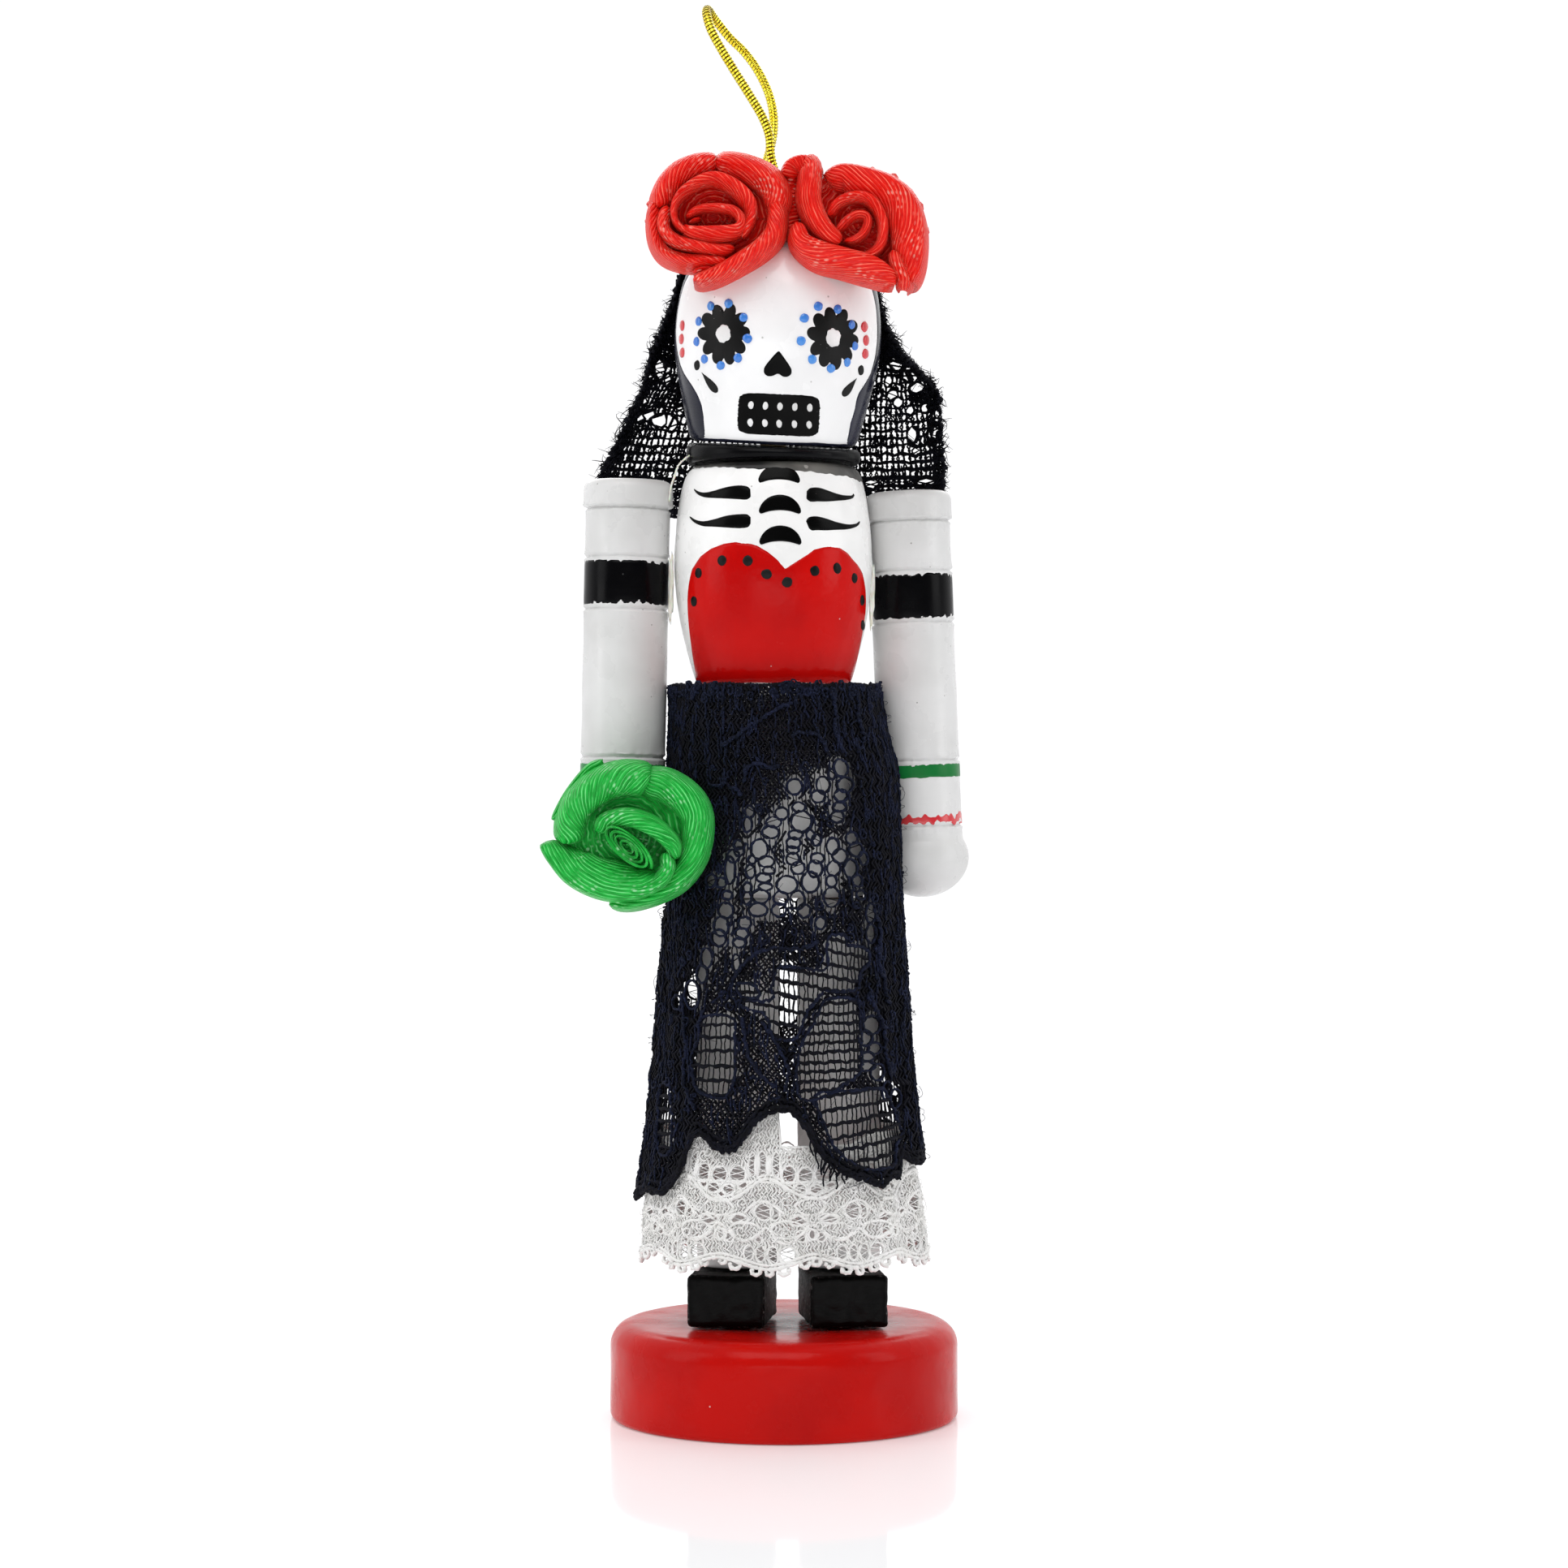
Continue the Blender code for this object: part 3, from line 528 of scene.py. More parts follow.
def make_gold():
    """Metallic foil thread: bright yellow strips with dark gaps between the wraps."""
    m = Nodes("gold_foil")
    here = m.place()
    fleck = m.noise(here, 2600.0, 3.0)
    wrap = m.node("TexWave", wave_type='BANDS', bands_direction='X', inputs={
        "Vector": m.uv(), "Scale": 0.748, "Distortion": 0.0}).outputs["Fac"]
    tint = m.ramp(fleck, (0.35, (0.86, 0.60, 0.02)), (0.62, (1.0, 0.88, 0.08)))
    tint = m.mix(m.ramp(wrap, (0.10, 1.0), (0.34, 0.0)), tint, (0.08, 0.045, 0.004))
    return m.finish(tint, m.ramp(fleck, (0.3, 0.16), (0.7, 0.30)), fleck, 0.03, Metallic=0.95)


def make_shoe_material():
    """Black paint, rubbed to grey specks on the faces that were sawn."""
    m = Nodes("paint_shoe")
    here = m.place()
    facing = m.node("NewGeometry").outputs["Normal"]
    split = m.node("SeparateXYZ", inputs={"Vector": facing})
    front = m.ramp(m.math('MULTIPLY', split.outputs["Y"], -1.0), (0.55, 0.0), (0.85, 1.0))
    speck = m.noise(here, 2300.0, 5.0, 0.75)
    rub = m.ramp(speck, (0.53, 0.0), (0.66, 1.0))
    rub = m.math('MULTIPLY', rub, m.ramp(m.noise(here, 300.0, 3.0), (0.3, 0.25), (0.7, 1.0)))
    rub = m.math('MULTIPLY', rub, m.math('SUBTRACT', 1.0, front))
    tint = m.mix(m.math('MULTIPLY', rub, 0.65), (0.002, 0.002, 0.002), (0.42, 0.42, 0.41))
    rough = m.ramp(front, (0.0, 0.55), (1.0, 0.16))
    return m.finish(tint, rough, m.math('SUBTRACT', speck, m.math('MULTIPLY', rub, 0.5)), 0.04,
                    Specular_IOR_Level=0.08)


def make_base_material():
    """Red enamel with orange peel, dust specks, and black mottling on the top round where the shoes
    stand.
    """
    m = Nodes("paint_base")
    here = m.place()
    slow = m.ramp(m.noise(here, 90.0, 3.0), (0.35, 0.0), (0.7, 1.0))
    tint = m.mix(slow, (0.56, 0.005, 0.003), (0.48, 0.004, 0.003))
    speck = m.specks(here, 380.0, 0.03, 0.055, 0.86)
    tint = m.mix(m.math('MULTIPLY', speck, 0.8), tint, (0.9, 0.75, 0.72))
    level = m.node("MapRange", inputs={"Value": m.height(), "From Min": 10.9, "From Max": 10.97})
    where = m.node("SeparateXYZ", inputs={"Vector": here})
    near_x = m.math('ABSOLUTE', m.math('SUBTRACT', where.outputs["X"], 0.0005))
    reach = m.math('ADD', m.math('POWER', m.math('DIVIDE', near_x, 0.0125), 4.0),
                   m.math('POWER', m.math('DIVIDE', m.math('ADD', where.outputs["Y"], 0.0022),
                                          0.0085), 4.0))
    near = m.ramp(reach, (0.25, 1.0), (1.0, 0.0))
    # black mottling on the top, thickest round where the shoes stand
    mottle = m.ramp(m.noise(here, 1900.0, 6.0, 0.8), (0.42, 0.0), (0.60, 1.0))
    dark_round_shoes = m.math('MULTIPLY', m.math('MULTIPLY', mottle, near), level.outputs[0])
    tint = m.mix(m.math('MULTIPLY', dark_round_shoes, 0.9), tint, (0.03, 0.025, 0.025))
    peel = m.math('ADD', m.noise(here, 700.0, 2.0), m.math('MULTIPLY', speck, 0.6))
    shine = m.ramp(m.noise(here, 200.0, 4.0), (0.3, 0.16), (0.75, 0.34))
    return m.finish(tint, shine, peel, 0.045, Specular_IOR_Level=0.10)


# ---------------------------------------------------------------- the stage

CAMERA_DISTANCE = 431.0
CAMERA_HEIGHT = 72.9
CAMERA_LENS = 85.7


def make_camera():
    lens = bpy.data.cameras.new("camera")
    lens.lens = CAMERA_LENS
    lens.sensor_width = 36.0
    lens.clip_start = 0.01
    camera = bpy.data.objects.new("camera", lens)
    camera.location = Vector((0, -CAMERA_DISTANCE, CAMERA_HEIGHT)) * MM
    camera.rotation_euler = (math.radians(90), 0, 0)
    bpy.context.scene.collection.objects.link(camera)
    bpy.context.scene.camera = camera


def area_light(name, place, size, watts, target=(0, 0, 75)):
    data = bpy.data.lights.new(name, 'AREA')
    data.shape = 'RECTANGLE'
    data.size, data.size_y = size[0] * MM, size[1] * MM
    data.energy = watts
    lamp = bpy.data.objects.new(name, data)
    lamp.location = Vector(place) * MM
    away = Vector(place) - Vector(target)
    lamp.rotation_euler = away.to_track_quat('Z', 'Y').to_euler()
    bpy.context.scene.collection.objects.link(lamp)


# name, place, size and watts
LIGHTS = (
    ("key_above", (-40, -240, 410), (340, 260), 0.84),
    ("front_low", (0, -430, 20), (420, 60), 0.15),
    ("side_left", (-340, -120, 190), (150, 300), 0.31),
    ("side_right", (340, -120, 190), (150, 300), 0.31),
    ("back_above", (0, 330, 330), (420, 200), 0.5),
)


def make_stage():
    """A white sweep: bright behind and above, darker in front so that black paint stays black."""
    world = bpy.data.worlds.new("studio")
    bpy.context.scene.world = world
    world.use_nodes = True
    tree = world.node_tree
    where = tree.nodes.new("ShaderNodeTexCoord")
    split = tree.nodes.new("ShaderNodeSeparateXYZ")
    ramp = tree.nodes.new("ShaderNodeValToRGB")
    tree.links.new(where.outputs["Generated"], split.inputs[0])
    spread = tree.nodes.new("ShaderNodeMapRange")
    spread.inputs["From Min"].default_value = -1.0
    tree.links.new(split.outputs["Y"], spread.inputs["Value"])
    tree.links.new(spread.outputs[0], ramp.inputs["Fac"])
    ramp.color_ramp.elements[0].position = 0.30
    ramp.color_ramp.elements[0].color = (0.20, 0.20, 0.205, 1)
    ramp.color_ramp.elements[1].position = 0.66
    ramp.color_ramp.elements[1].color = (1.04, 1.04, 1.05, 1)
    tree.links.new(ramp.outputs["Color"], tree.nodes["Background"].inputs["Color"])

    floor_paint = Nodes("floor_white")
    haze = floor_paint.noise(floor_paint.place(), 14.0, 2.0)
    tint = floor_paint.ramp(haze, (0.2, (0.87, 0.87, 0.88)), (0.8, (0.89, 0.89, 0.90)))
    paint = floor_paint.finish(tint, 0.06, Specular_IOR_Level=0.12,
                               Emission_Color=(1, 1, 1), Emission_Strength=0.17)
    size = 3000.0
    verts = [(-size, -size, 0), (size, -size, 0), (size, size, 0), (-size, size, 0)]
    floor = new_object("floor", verts, [(0, 1, 2, 3)], paint, None)
    floor.location.z = -0.02 * MM

    for light in LIGHTS:
        area_light(*light)
    bpy.context.scene.view_settings.view_transform = 'Standard'


# ---------------------------------------------------------------- wooden pieces

BASE_RADIUS, BASE_HEIGHT = 20.0, 11.0
LEG_X = {"left": -5.3, "right": 6.3}
SHOE_SHIFT = {"left": -0.3, "right": 0.1}
SHOE_WIDTH, SHOE_FRONT, SHOE_BACK = 8.8, 8.6, 3.5
SHOE_BOTTOM, SHOE_TOP = 11.3, 17.2
TOE_OUT = math.radians(7.0)
LEG_RADIUS, LEG_BOTTOM, LEG_TOP = 4.75, 17.5, 59.7
HIP_X, HIP_RADIUS, HIP_BOTTOM, HIP_TOP = -0.6, 10.2, 60.0, 84.0
TORSO_X = -1.25
COLLAR_BOTTOM = 109.7
HEAD_BOTTOM = 112.2
HEAD_NOD, HEAD_ROLL = math.radians(6.0), math.radians(2.5)
GAP = 0.3
TORSO_PROFILE = ((8.4, 84.3), (8.9, 84.8), (9.9, 88.0), (10.8, 92.0), (11.3, 95.8), (11.4, 99.0),
                 (11.2, 102.5), (10.8, 105.6), (10.3, 107.7), (9.7, 108.9), (8.9, 109.4))
HEAD_PROFILE = ((8.9, 0.0), (9.6, 0.6), (10.3, 3.3), (11.0, 6.3), (11.6, 9.4), (11.8, 12.2),
                (11.6, 15.2), (11.0, 18.2), (9.9, 20.7), (8.0, 22.6), (5.6, 23.6), (3.0, 23.95),
                (0.0, 24.0))
ARMS = {
    "left": {"x": -18.0, "y": 0.0, "lean": -0.020, "shaft": 4.87, "cap": 5.15, "top": 107.9,
             "grooves": (69.4, 76.0, 93.0, 99.0, 104.6),
             "bands": (("black", 93.5, 98.5), ("green", 73.7, 75.2), ("dot_red", 68.1, 69.0))},
    "right": {"x": 14.5, "y": 4.2, "lean": 0.040, "shaft": 4.75, "cap": 5.0, "top": 106.9,
              "grooves": (68.0, 75.6, 91.6, 97.6, 103.4),
              "bands": (("black", 92.0, 97.2), ("green", 73.6, 75.1), ("dot_red", 68.3, 69.2))},
}
ARM_REF = 105.0
HAND_RADIUS, HAND_HALF_HEIGHT, HAND_CENTRE = 5.4, 4.6, 64.3


def put(thing, place=(0, 0, 0), turn=(0, 0, 0)):
    """Place a piece that already rides, in its own frame, in millimetres and radians."""
    thing.location = Vector(place) * MM
    thing.rotation_euler = turn
    return thing


def arc(centre_r, centre_z, radius_r, radius_z, start, end, steps):
    a = np.radians(np.linspace(start, end, steps + 1))
    return [(centre_r + radius_r * math.cos(t), centre_z + radius_z * math.sin(t)) for t in a]


def fill(points, spacing):
    """Points no further apart than spacing along straight runs."""
    out = [points[0]]
    for a, b in zip(points, points[1:]):
        steps = max(1, int(math.dist(a, b) / spacing))
        out += [(a[0] + (b[0] - a[0]) * i / steps, a[1] + (b[1] - a[1]) * i / steps)
                for i in range(1, steps + 1)]
    return out


def make_base(mats):
    profile = [(0, 0.0), (16.0, 0.0)]
    profile += arc(BASE_RADIUS - 0.7, 0.7, 0.7, 0.7, -90, 0, 6)
    profile += arc(BASE_RADIUS - 2.6, BASE_HEIGHT - 2.6, 2.6, 2.6, 0, 90, 14)
    profile += [(12.0, BASE_HEIGHT), (4.0, BASE_HEIGHT), (0, BASE_HEIGHT)]
    base = spin("base_red", fill(profile, 0.6), 180, mats["base"], "red_paint", 0.05, 3.0)
    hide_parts("base_disc")


def make_shoes(mats):
    """Sawn blocks with rubbed edges, toes turned out."""
    for side, outward in (("left", -1), ("right", 1)):
        length, height = SHOE_FRONT + SHOE_BACK, SHOE_TOP - SHOE_BOTTOM
        size = np.array([SHOE_WIDTH, length, height])
        steps = (22, 30, 15)
        middle = np.array([SHOE_SHIFT[side], (SHOE_BACK - SHOE_FRONT) / 2,
                           (SHOE_TOP + SHOE_BOTTOM) / 2])
        parts = []
        for axis in range(3):
            u, v = [a for a in range(3) if a != axis]
            for sign in (-1, 1):
                a, b = np.meshgrid(np.linspace(-1, 1, steps[u] + 1),
                                   np.linspace(-1, 1, steps[v] + 1), indexing="ij")
                p = np.zeros(a.shape + (3,))
                p[..., u], p[..., v], p[..., axis] = a, b, sign
                flip = (sign < 0) != (axis == 1)
                parts.append((p.reshape(-1, 3), grid_faces(steps[u] + 1, steps[v] + 1, flip=flip)))
        verts, faces = join(parts)
        verts, faces = weld(verts, faces)
        verts = soften(verts * size / 2, size / 2, 0.5)
        seed = 11.0 if side == "left" else 29.0
        for i, p in enumerate(verts):
            push = noise.noise(Vector(p) * 0.9 + Vector((seed, 0, 0))) * 0.10
            verts[i] = p * (1 + push / 5.0)
        shoe = new_object("shoe_block_" + side, verts + middle, faces, mats["shoe"], "black_paint")
        put(shoe, (LEG_X[side], 0, 0), (0, 0, outward * TOE_OUT))
        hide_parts("shoe_" + side)


def weld(verts, faces):
    """Merge vertices that share a place."""
    keys, index = np.unique(np.round(verts, 5), axis=0, return_inverse=True)
    index = index.ravel()
    return keys, [tuple(int(index[i]) for i in face) for face in faces]


def soften(verts, half, radius):
    """Round the edges of a box of points to a radius."""
    core = np.clip(verts, -(half - radius), half - radius)
    out = verts - core
    length = np.linalg.norm(out, axis=1, keepdims=True)
    safe = np.where(length > 1e-6, length, 1.0)
    return np.where(length > radius, core + out / safe * radius, verts)


def make_legs(mats):
    for side, x in LEG_X.items():
        profile = [(0, LEG_BOTTOM), (4.3, LEG_BOTTOM)]
        profile += arc(LEG_RADIUS - 0.4, LEG_BOTTOM + 0.4, 0.4, 0.4, -90, 0, 4)
        profile += arc(LEG_RADIUS - 0.4, LEG_TOP - 0.4, 0.4, 0.4, 0, 90, 4)
        profile.append((0, LEG_TOP))
        name = "leg_dowel_" + side
        leg = spin(name, fill(profile, 0.9), 96, mats["white"], "white_paint", 0.05, x)
        put(leg, (x, 0, 0))
        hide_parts("leg_" + side)
    profile = [(0, HIP_BOTTOM), (9.4, HIP_BOTTOM)]
    profile += arc(HIP_RADIUS - 0.8, HIP_BOTTOM + 0.8, 0.8, 0.8, -90, 0, 4)
    profile += arc(HIP_RADIUS - 0.8, HIP_TOP - 0.8, 0.8, 0.8, 0, 90, 4)
    profile.append((0, HIP_TOP))
    hips = spin("hips_painted", fill(profile, 1.0), 110, mats["white"], "white_paint", 0.05, 7.0)
    put(hips, (HIP_X, 0, 0))
    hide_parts("hip_block")


def edge_of(stations):
    """A function of an angle in radians from (degrees, value) stations."""
    degrees, values = np.array(stations, float).T
    return lambda angle: np.interp(np.degrees(angle), degrees, values)


RIB_WIDTHS = (0.05, 0.18, 0.30, 0.45, 0.68, 0.80, 0.76, 0.42)
RIBS = (
    ((-9.0, 106.5), (-8.5, 106.0), (-7.7, 105.7), (-6.6, 105.7), (-5.2, 105.8), (-3.8, 105.8),
     (-2.9, 105.7), (-2.5, 105.7)),
    ((9.2, 106.0), (9.0, 105.6), (8.1, 105.4), (7.2, 105.4), (6.0, 105.5), (5.0, 105.6),
     (4.2, 105.5), (3.8, 105.5)),
    ((-9.5, 103.4), (-8.9, 102.8), (-7.9, 102.4), (-6.6, 102.4), (-5.2, 102.5), (-3.8, 102.5),
     (-2.9, 102.5), (-2.5, 102.5)),
    ((9.9, 102.9), (9.5, 102.4), (8.5, 102.1), (7.2, 102.1), (6.0, 102.2), (4.9, 102.3),
     (4.2, 102.2), (3.9, 102.1)),
)
BREASTBONES = ((0.7, 107.0), (0.8, 103.5), (0.85, 100.0))
MOON = ((2.38, 0.1), (2.25, 0.6), (1.9, 1.15), (1.3, 1.65), (0.65, 1.9), (0, 1.98), (-0.65, 1.9),
        (-1.3, 1.65), (-1.9, 1.15), (-2.25, 0.6), (-2.38, 0.1), (-2.2, -0.18), (-1.9, -0.12),
        (-1.1, 0.1), (0, 0.2), (1.1, 0.1), (1.9, -0.12), (2.2, -0.18))
BODICE_EDGE = (
    (-86, 84.7), (-79, 85.1), (-73, 85.9), (-70, 87.5), (-67, 89.3), (-63, 92.8), (-61, 94.4),
    (-58, 95.8), (-54, 97.3), (-46, 98.7), (-38, 99.5), (-29, 100.0), (-22, 100.15), (-14, 100.0),
    (-9, 99.7), (-3, 99.0), (2, 98.2), (7, 97.2), (13, 97.9), (18, 98.6), (24, 99.3), (30, 99.6),
    (35, 99.75), (42, 99.6), (49, 99.0), (57, 98.0), (64, 96.9), (70, 95.3), (75, 93.4),
    (77, 91.0), (80, 88.5), (84, 86.5), (88, 85.2), (92, 84.7),
)
BODICE_DOTS = ((-8.4, 96.8), (-5.7, 98.1), (-2.8, 98.0), (-0.7, 96.5), (1.6, 95.6), (4.7, 96.9),
               (7.2, 97.3), (9.2, 96.3), (-8.9, 93.7), (10.1, 93.9), (10.2, 91.1))


def make_torso(mats):
    profile = [(0, 84.3)] + fill(smooth_path(TORSO_PROFILE, 0.5).tolist(), 0.5)
    torso = spin("torso_turned", profile + [(4.0, 109.4), (0, 109.4)], 160, mats["white"],
                 "white_paint", 0.05, 13.0)
    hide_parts("torso")
    skin = Turned(TORSO_PROFILE)
    end = skin.run[-1]
    parts = []
    high = edge_of(BODICE_EDGE)
    bodice = shell(skin, 240, lambda a: skin.at_height(84.33 + 0 * a),
                   lambda a: skin.at_height(high(a)), np.radians((-86.5, 91.5)), 40, 0.10)
    parts.append(new_object("bodice", *bodice, mats["red"], "red_paint"))
    rim = edge_of(((-180, 108.9), (-110, 109.1), (-72, 109.1), (-35, 108.8), (-12, 108.45),
                   (18, 108.2), (41, 108.0), (57, 107.9), (72, 107.6), (110, 107.9), (180, 108.9)))
    # the shoulder paint's grey mottling is partly painted highlight
    smear = shell(skin, 220, lambda a: skin.at_height(rim(a)) + 0.10 * np.sin(a * 37 + 1)
                  * np.sin(a * 11), lambda a: end + 0 * a, (-math.pi, math.pi), 12, 0.10)
    parts.append(new_object("shoulder_smear", *smear, mats["smear"], "black_paint"))
    strokes = [stroke(skin, [(x, z, w) for (x, z), w in zip(rib, RIB_WIDTHS)], 0.10)
               for rib in RIBS]
    moon = smooth_path(MOON, 0.2, closed=True) - (0, 0.8)
    strokes += [blob(skin, (x, z + 0.8), moon, 0.10) for x, z in BREASTBONES]
    parts.append(new_object("ribs", *join(strokes), mats["motif_gloss"], "black_paint"))
    dots = []
    for i, (x, z) in enumerate(BODICE_DOTS):
        width = math.sqrt(max(0.05, 1 - (x / 11.3) ** 2))
        dots.append(blob(skin, (x, z), oval(0.60 * width, 0.60, seed=i), 0.16, "dot", 0.08))
    parts.append(new_object("bodice_dots", *join(dots), mats["motif"], "black_paint"))
    for part in [torso] + parts:
        put(part, (TORSO_X, 0, 0))


def head_plane(x, y):
    return HEAD_BOTTOM + y * math.tan(HEAD_NOD) - (x - TORSO_X) * math.tan(HEAD_ROLL)


def make_collar(mats):
    profile = [(0, 0.0)] + fill([(8.9, 0.0), (9.7, 0.02), (10.0, 0.2), (10.1, 0.5), (10.0, 0.8),
                                 (9.7, 0.98), (8.9, 1.0)], 0.25) + [(0, 1.0)]
    collar = spin("collar_turned", profile, 120, mats["black"], "black_paint", 0.06, 5.0)
    for vertex in collar.data.vertices:
        x, y, share = vertex.co / MM
        top = head_plane(x + TORSO_X, y) - GAP
        vertex.co.z = (COLLAR_BOTTOM + (top - COLLAR_BOTTOM) * share) * MM
    put(collar, (TORSO_X, 0, 0))
    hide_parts("neck_collar")


# paint on the head: x across from its axis, height above its underside
EYES = {"left": (-6.0, 12.2, 3.0, 3.5, 0.10), "right": (6.3, 12.3, 2.95, 3.55, -0.05)}
BLUE_DOTS = (
    (-7.6, 15.25), (-5.6, 15.6), (-3.85, 14.1), (-3.3, 11.75), (-4.3, 9.55), (-6.2, 8.65),
    (-8.1, 9.3), (-9.1, 11.2), (-8.95, 13.5),
    (4.45, 15.7), (6.65, 15.5), (8.3, 13.85), (8.8, 11.5), (8.0, 9.65), (6.2, 8.85), (4.05, 9.75),
    (2.7, 11.75), (2.95, 14.3),
)
RED_DOTS = ((-10.85, 13.0), (-10.9, 11.5), (-10.75, 9.95), (9.8, 13.7), (10.05, 12.2),
            (10.05, 10.7))
CHEEK_OVALS = ((-8.95, 8.55), (9.65, 8.8))
TEARS = (((-8.4, 7.8), (-6.5, 5.6)), ((9.2, 7.9), (7.7, 5.8)))
TEAR_WIDTH = 0.62
NOSE = ((0.25, 10.5), (0.62, 10.15), (1.05, 9.6), (1.5, 9.0), (1.78, 8.5), (1.75, 8.0),
        (1.35, 7.7), (0.85, 7.7), (0.28, 7.98), (-0.3, 7.72), (-0.85, 7.68), (-1.25, 7.95),
        (-1.32, 8.45), (-1.05, 9.0), (-0.6, 9.6), (-0.15, 10.15))
MOUTH = (0.55, 3.4, 4.62, 2.32)
TEETH_X, TEETH_Z = (-2.6, -0.95, 0.65, 2.33, 3.98), (4.37, 2.43)
HAIR_EDGE = (
    # height, angle on the left, angle on the right
    (0.0, -54.5, 61.5), (1.3, -52.0, 60.5), (2.9, -51.0, 59.0), (4.0, -51.5, 58.5),
    (5.2, -54.5, 58.8), (6.2, -59.0, 60.0), (7.6, -68.0, 65.5), (8.6, -73.0, 70.5),
    (10.4, -78.0, 73.5), (14.0, -83.0, 74.5), (18.0, -78.0, 72.0), (21.0, -62.0, 62.0),
    (22.6, -30.0, 30.0),
)


def make_head(mats):
    curve = smooth_path(HEAD_PROFILE[:-1], 0.35).tolist()
    head = spin("head_turned", [(0, 0.0), (4.0, 0.0)] + fill(curve, 0.4) + [(0, 24.0)], 180,
                mats["face_white"], "white_paint", 0.03, 17.0)
    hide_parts("head")
    skin = Turned(HEAD_PROFILE)
    parts = []

    rows = np.array(HAIR_EDGE)
    height = np.concatenate([np.linspace(0.02, 22.5, 90), np.linspace(22.65, 23.9, 12)])
    left = np.radians(np.interp(height, rows[:, 0], rows[:, 1])) + TAU
    right = np.radians(np.interp(height, rows[:, 0], rows[:, 2]))
    share = np.linspace(0, 1, 150)
    angle = right[:, None] + (left - right)[:, None] * share
    run = skin.at_height(height)[:, None] + 0 * angle
    lift = 0.09 * np.clip(12 * np.minimum(share, 1 - share), 0, 1) ** 0.5 + 0 * angle
    lift[0] = lift[-1] = 0
    hair = slab(skin.point(run, angle, lift), skin.point(run, angle, -0.1))
    parts.append(new_object("painted_hair", *hair, mats["hair"], "black_paint"))

    rim = band(skin, 0.03, 0.42, 0.05, 160, 0.03, 4)
    parts.append(new_object("chin_rim", *rim, mats["hair"], "black_paint"))

    flat = []
    for x, z, rx, rz, turn in EYES.values():
        a = np.arange(140) * TAU / 140
        petal = 0.68 + 0.32 * np.abs(np.cos(5 * a + 0.3)) ** 0.62
        petal *= 1 + 0.035 * np.sin(3 * a + x) + 0.02 * np.sin(7 * a + z)
        outline = np.column_stack([rx * petal * np.cos(a + turn), rz * petal * np.sin(a + turn)])
        flat.append(blob(skin, (x, z), outline, 0.09))
    for x, z in CHEEK_OVALS:
        flat.append(blob(skin, (x, z), oval(0.34, 0.58, seed=5), 0.08))
    for (x0, z0), (x1, z1) in TEARS:
        a = np.arange(40) * TAU / 40
        share = 0.5 - 0.5 * np.cos(a)
        side = TEAR_WIDTH * np.sin(a) * np.sin(a / 2) ** 1.6 / math.hypot(x1 - x0, z1 - z0)
        drop = np.column_stack([(x1 - x0) * (share - 0.5) - (z1 - z0) * side,
                                (z1 - z0) * (share - 0.5) + (x1 - x0) * side])
        flat.append(blob(skin, ((x0 + x1) / 2, (z0 + z1) / 2), drop, 0.09))
    parts.append(new_object("eye_flowers", *join(flat), mats["motif"], "black_paint"))

    nose = smooth_path(NOSE, 0.12, closed=True)
    a = np.arange(150) * TAU / 150
    x, z, rx, rz = MOUTH
    square = 1 / (np.abs(np.cos(a)) ** 7 + np.abs(np.sin(a)) ** 7) ** (1 / 7)
    square *= 1 + 0.006 * rnd(3).normal(0, 1, 150)
    mouth = np.column_stack([rx * square * np.cos(a), rz * square * np.sin(a)])
    dark = [blob(skin, (0.25, 8.7), nose - (0.25, 8.7), 0.10), blob(skin, (x, z), mouth, 0.11)]
    parts.append(new_object("nose_and_mouth", *join(dark), mats["motif_gloss"], "black_paint"))

    white = []
    for i, x in enumerate(TEETH_X):
        for j, z in enumerate(TEETH_Z):
            tooth = oval(0.32, 0.46, seed=20 + i * 2 + j, lean=0.1 * j)
            white.append(blob(skin, (x, z), tooth, 0.14, "dot", 0.07))
    for i, (x, z, *_rest) in enumerate(EYES.values()):
        pupil = oval(0.83, 1.02, 40, seed=40 + i, rough=0.06)
        white.append(blob(skin, (x, z), pupil, 0.09, "flat", 0.07))
    parts.append(new_object("teeth_and_pupils", *join(white), mats["dab_white"], "white_paint"))

    for name, spots, rx, rz, key in (("blue_dots", BLUE_DOTS, 0.53, 0.52, "blue"),
                                     ("red_dots", RED_DOTS, 0.66, 0.60, "dot_red")):
        raised = []
        for i, (x, z) in enumerate(spots):
            width = math.sqrt(1 - min(0.86, (x / 11.7) ** 2))
            raised.append(blob(skin, (x, z), oval(rx * width, rz, seed=60 + i), 0.20, "dot", 0.04))
        parts.append(new_object(name, *join(raised), mats[key],
                                "red_paint" if key == "dot_red" else "black_paint"))
    for part in [head] + parts:
        put(part, (TORSO_X, 0, HEAD_BOTTOM), (HEAD_NOD, HEAD_ROLL, 0))


def arm_surface(arm):
    """Outer profile of an arm above its reference height, low to high, with its grooves."""
    shaft = arm["shaft"]
    wrist = math.degrees(math.acos(shaft / HAND_RADIUS)) * 0.92
    points = arc(0, HAND_CENTRE, HAND_RADIUS, HAND_HALF_HEIGHT, -89.5, wrist, 40)
    cap = arm["grooves"][-1]
    for height in arm["grooves"]:
        above = arm["cap"] if height == cap else shaft
        points += [(shaft, height - 0.55), (shaft + 0.05, height - 0.34), (shaft, height - 0.24),
                   (shaft - 0.22, height - 0.04), (shaft - 0.22, height + 0.04),
                   (above - 0.02, height + 0.26), (above + 0.04, height + 0.38),
                   (above, height + 0.55)]
    points += arc(arm["cap"] - 1.1, arm["top"] - 1.1, 1.1, 1.1, 0, 90, 12)
    points.append((0.0, arm["top"]))
    return points


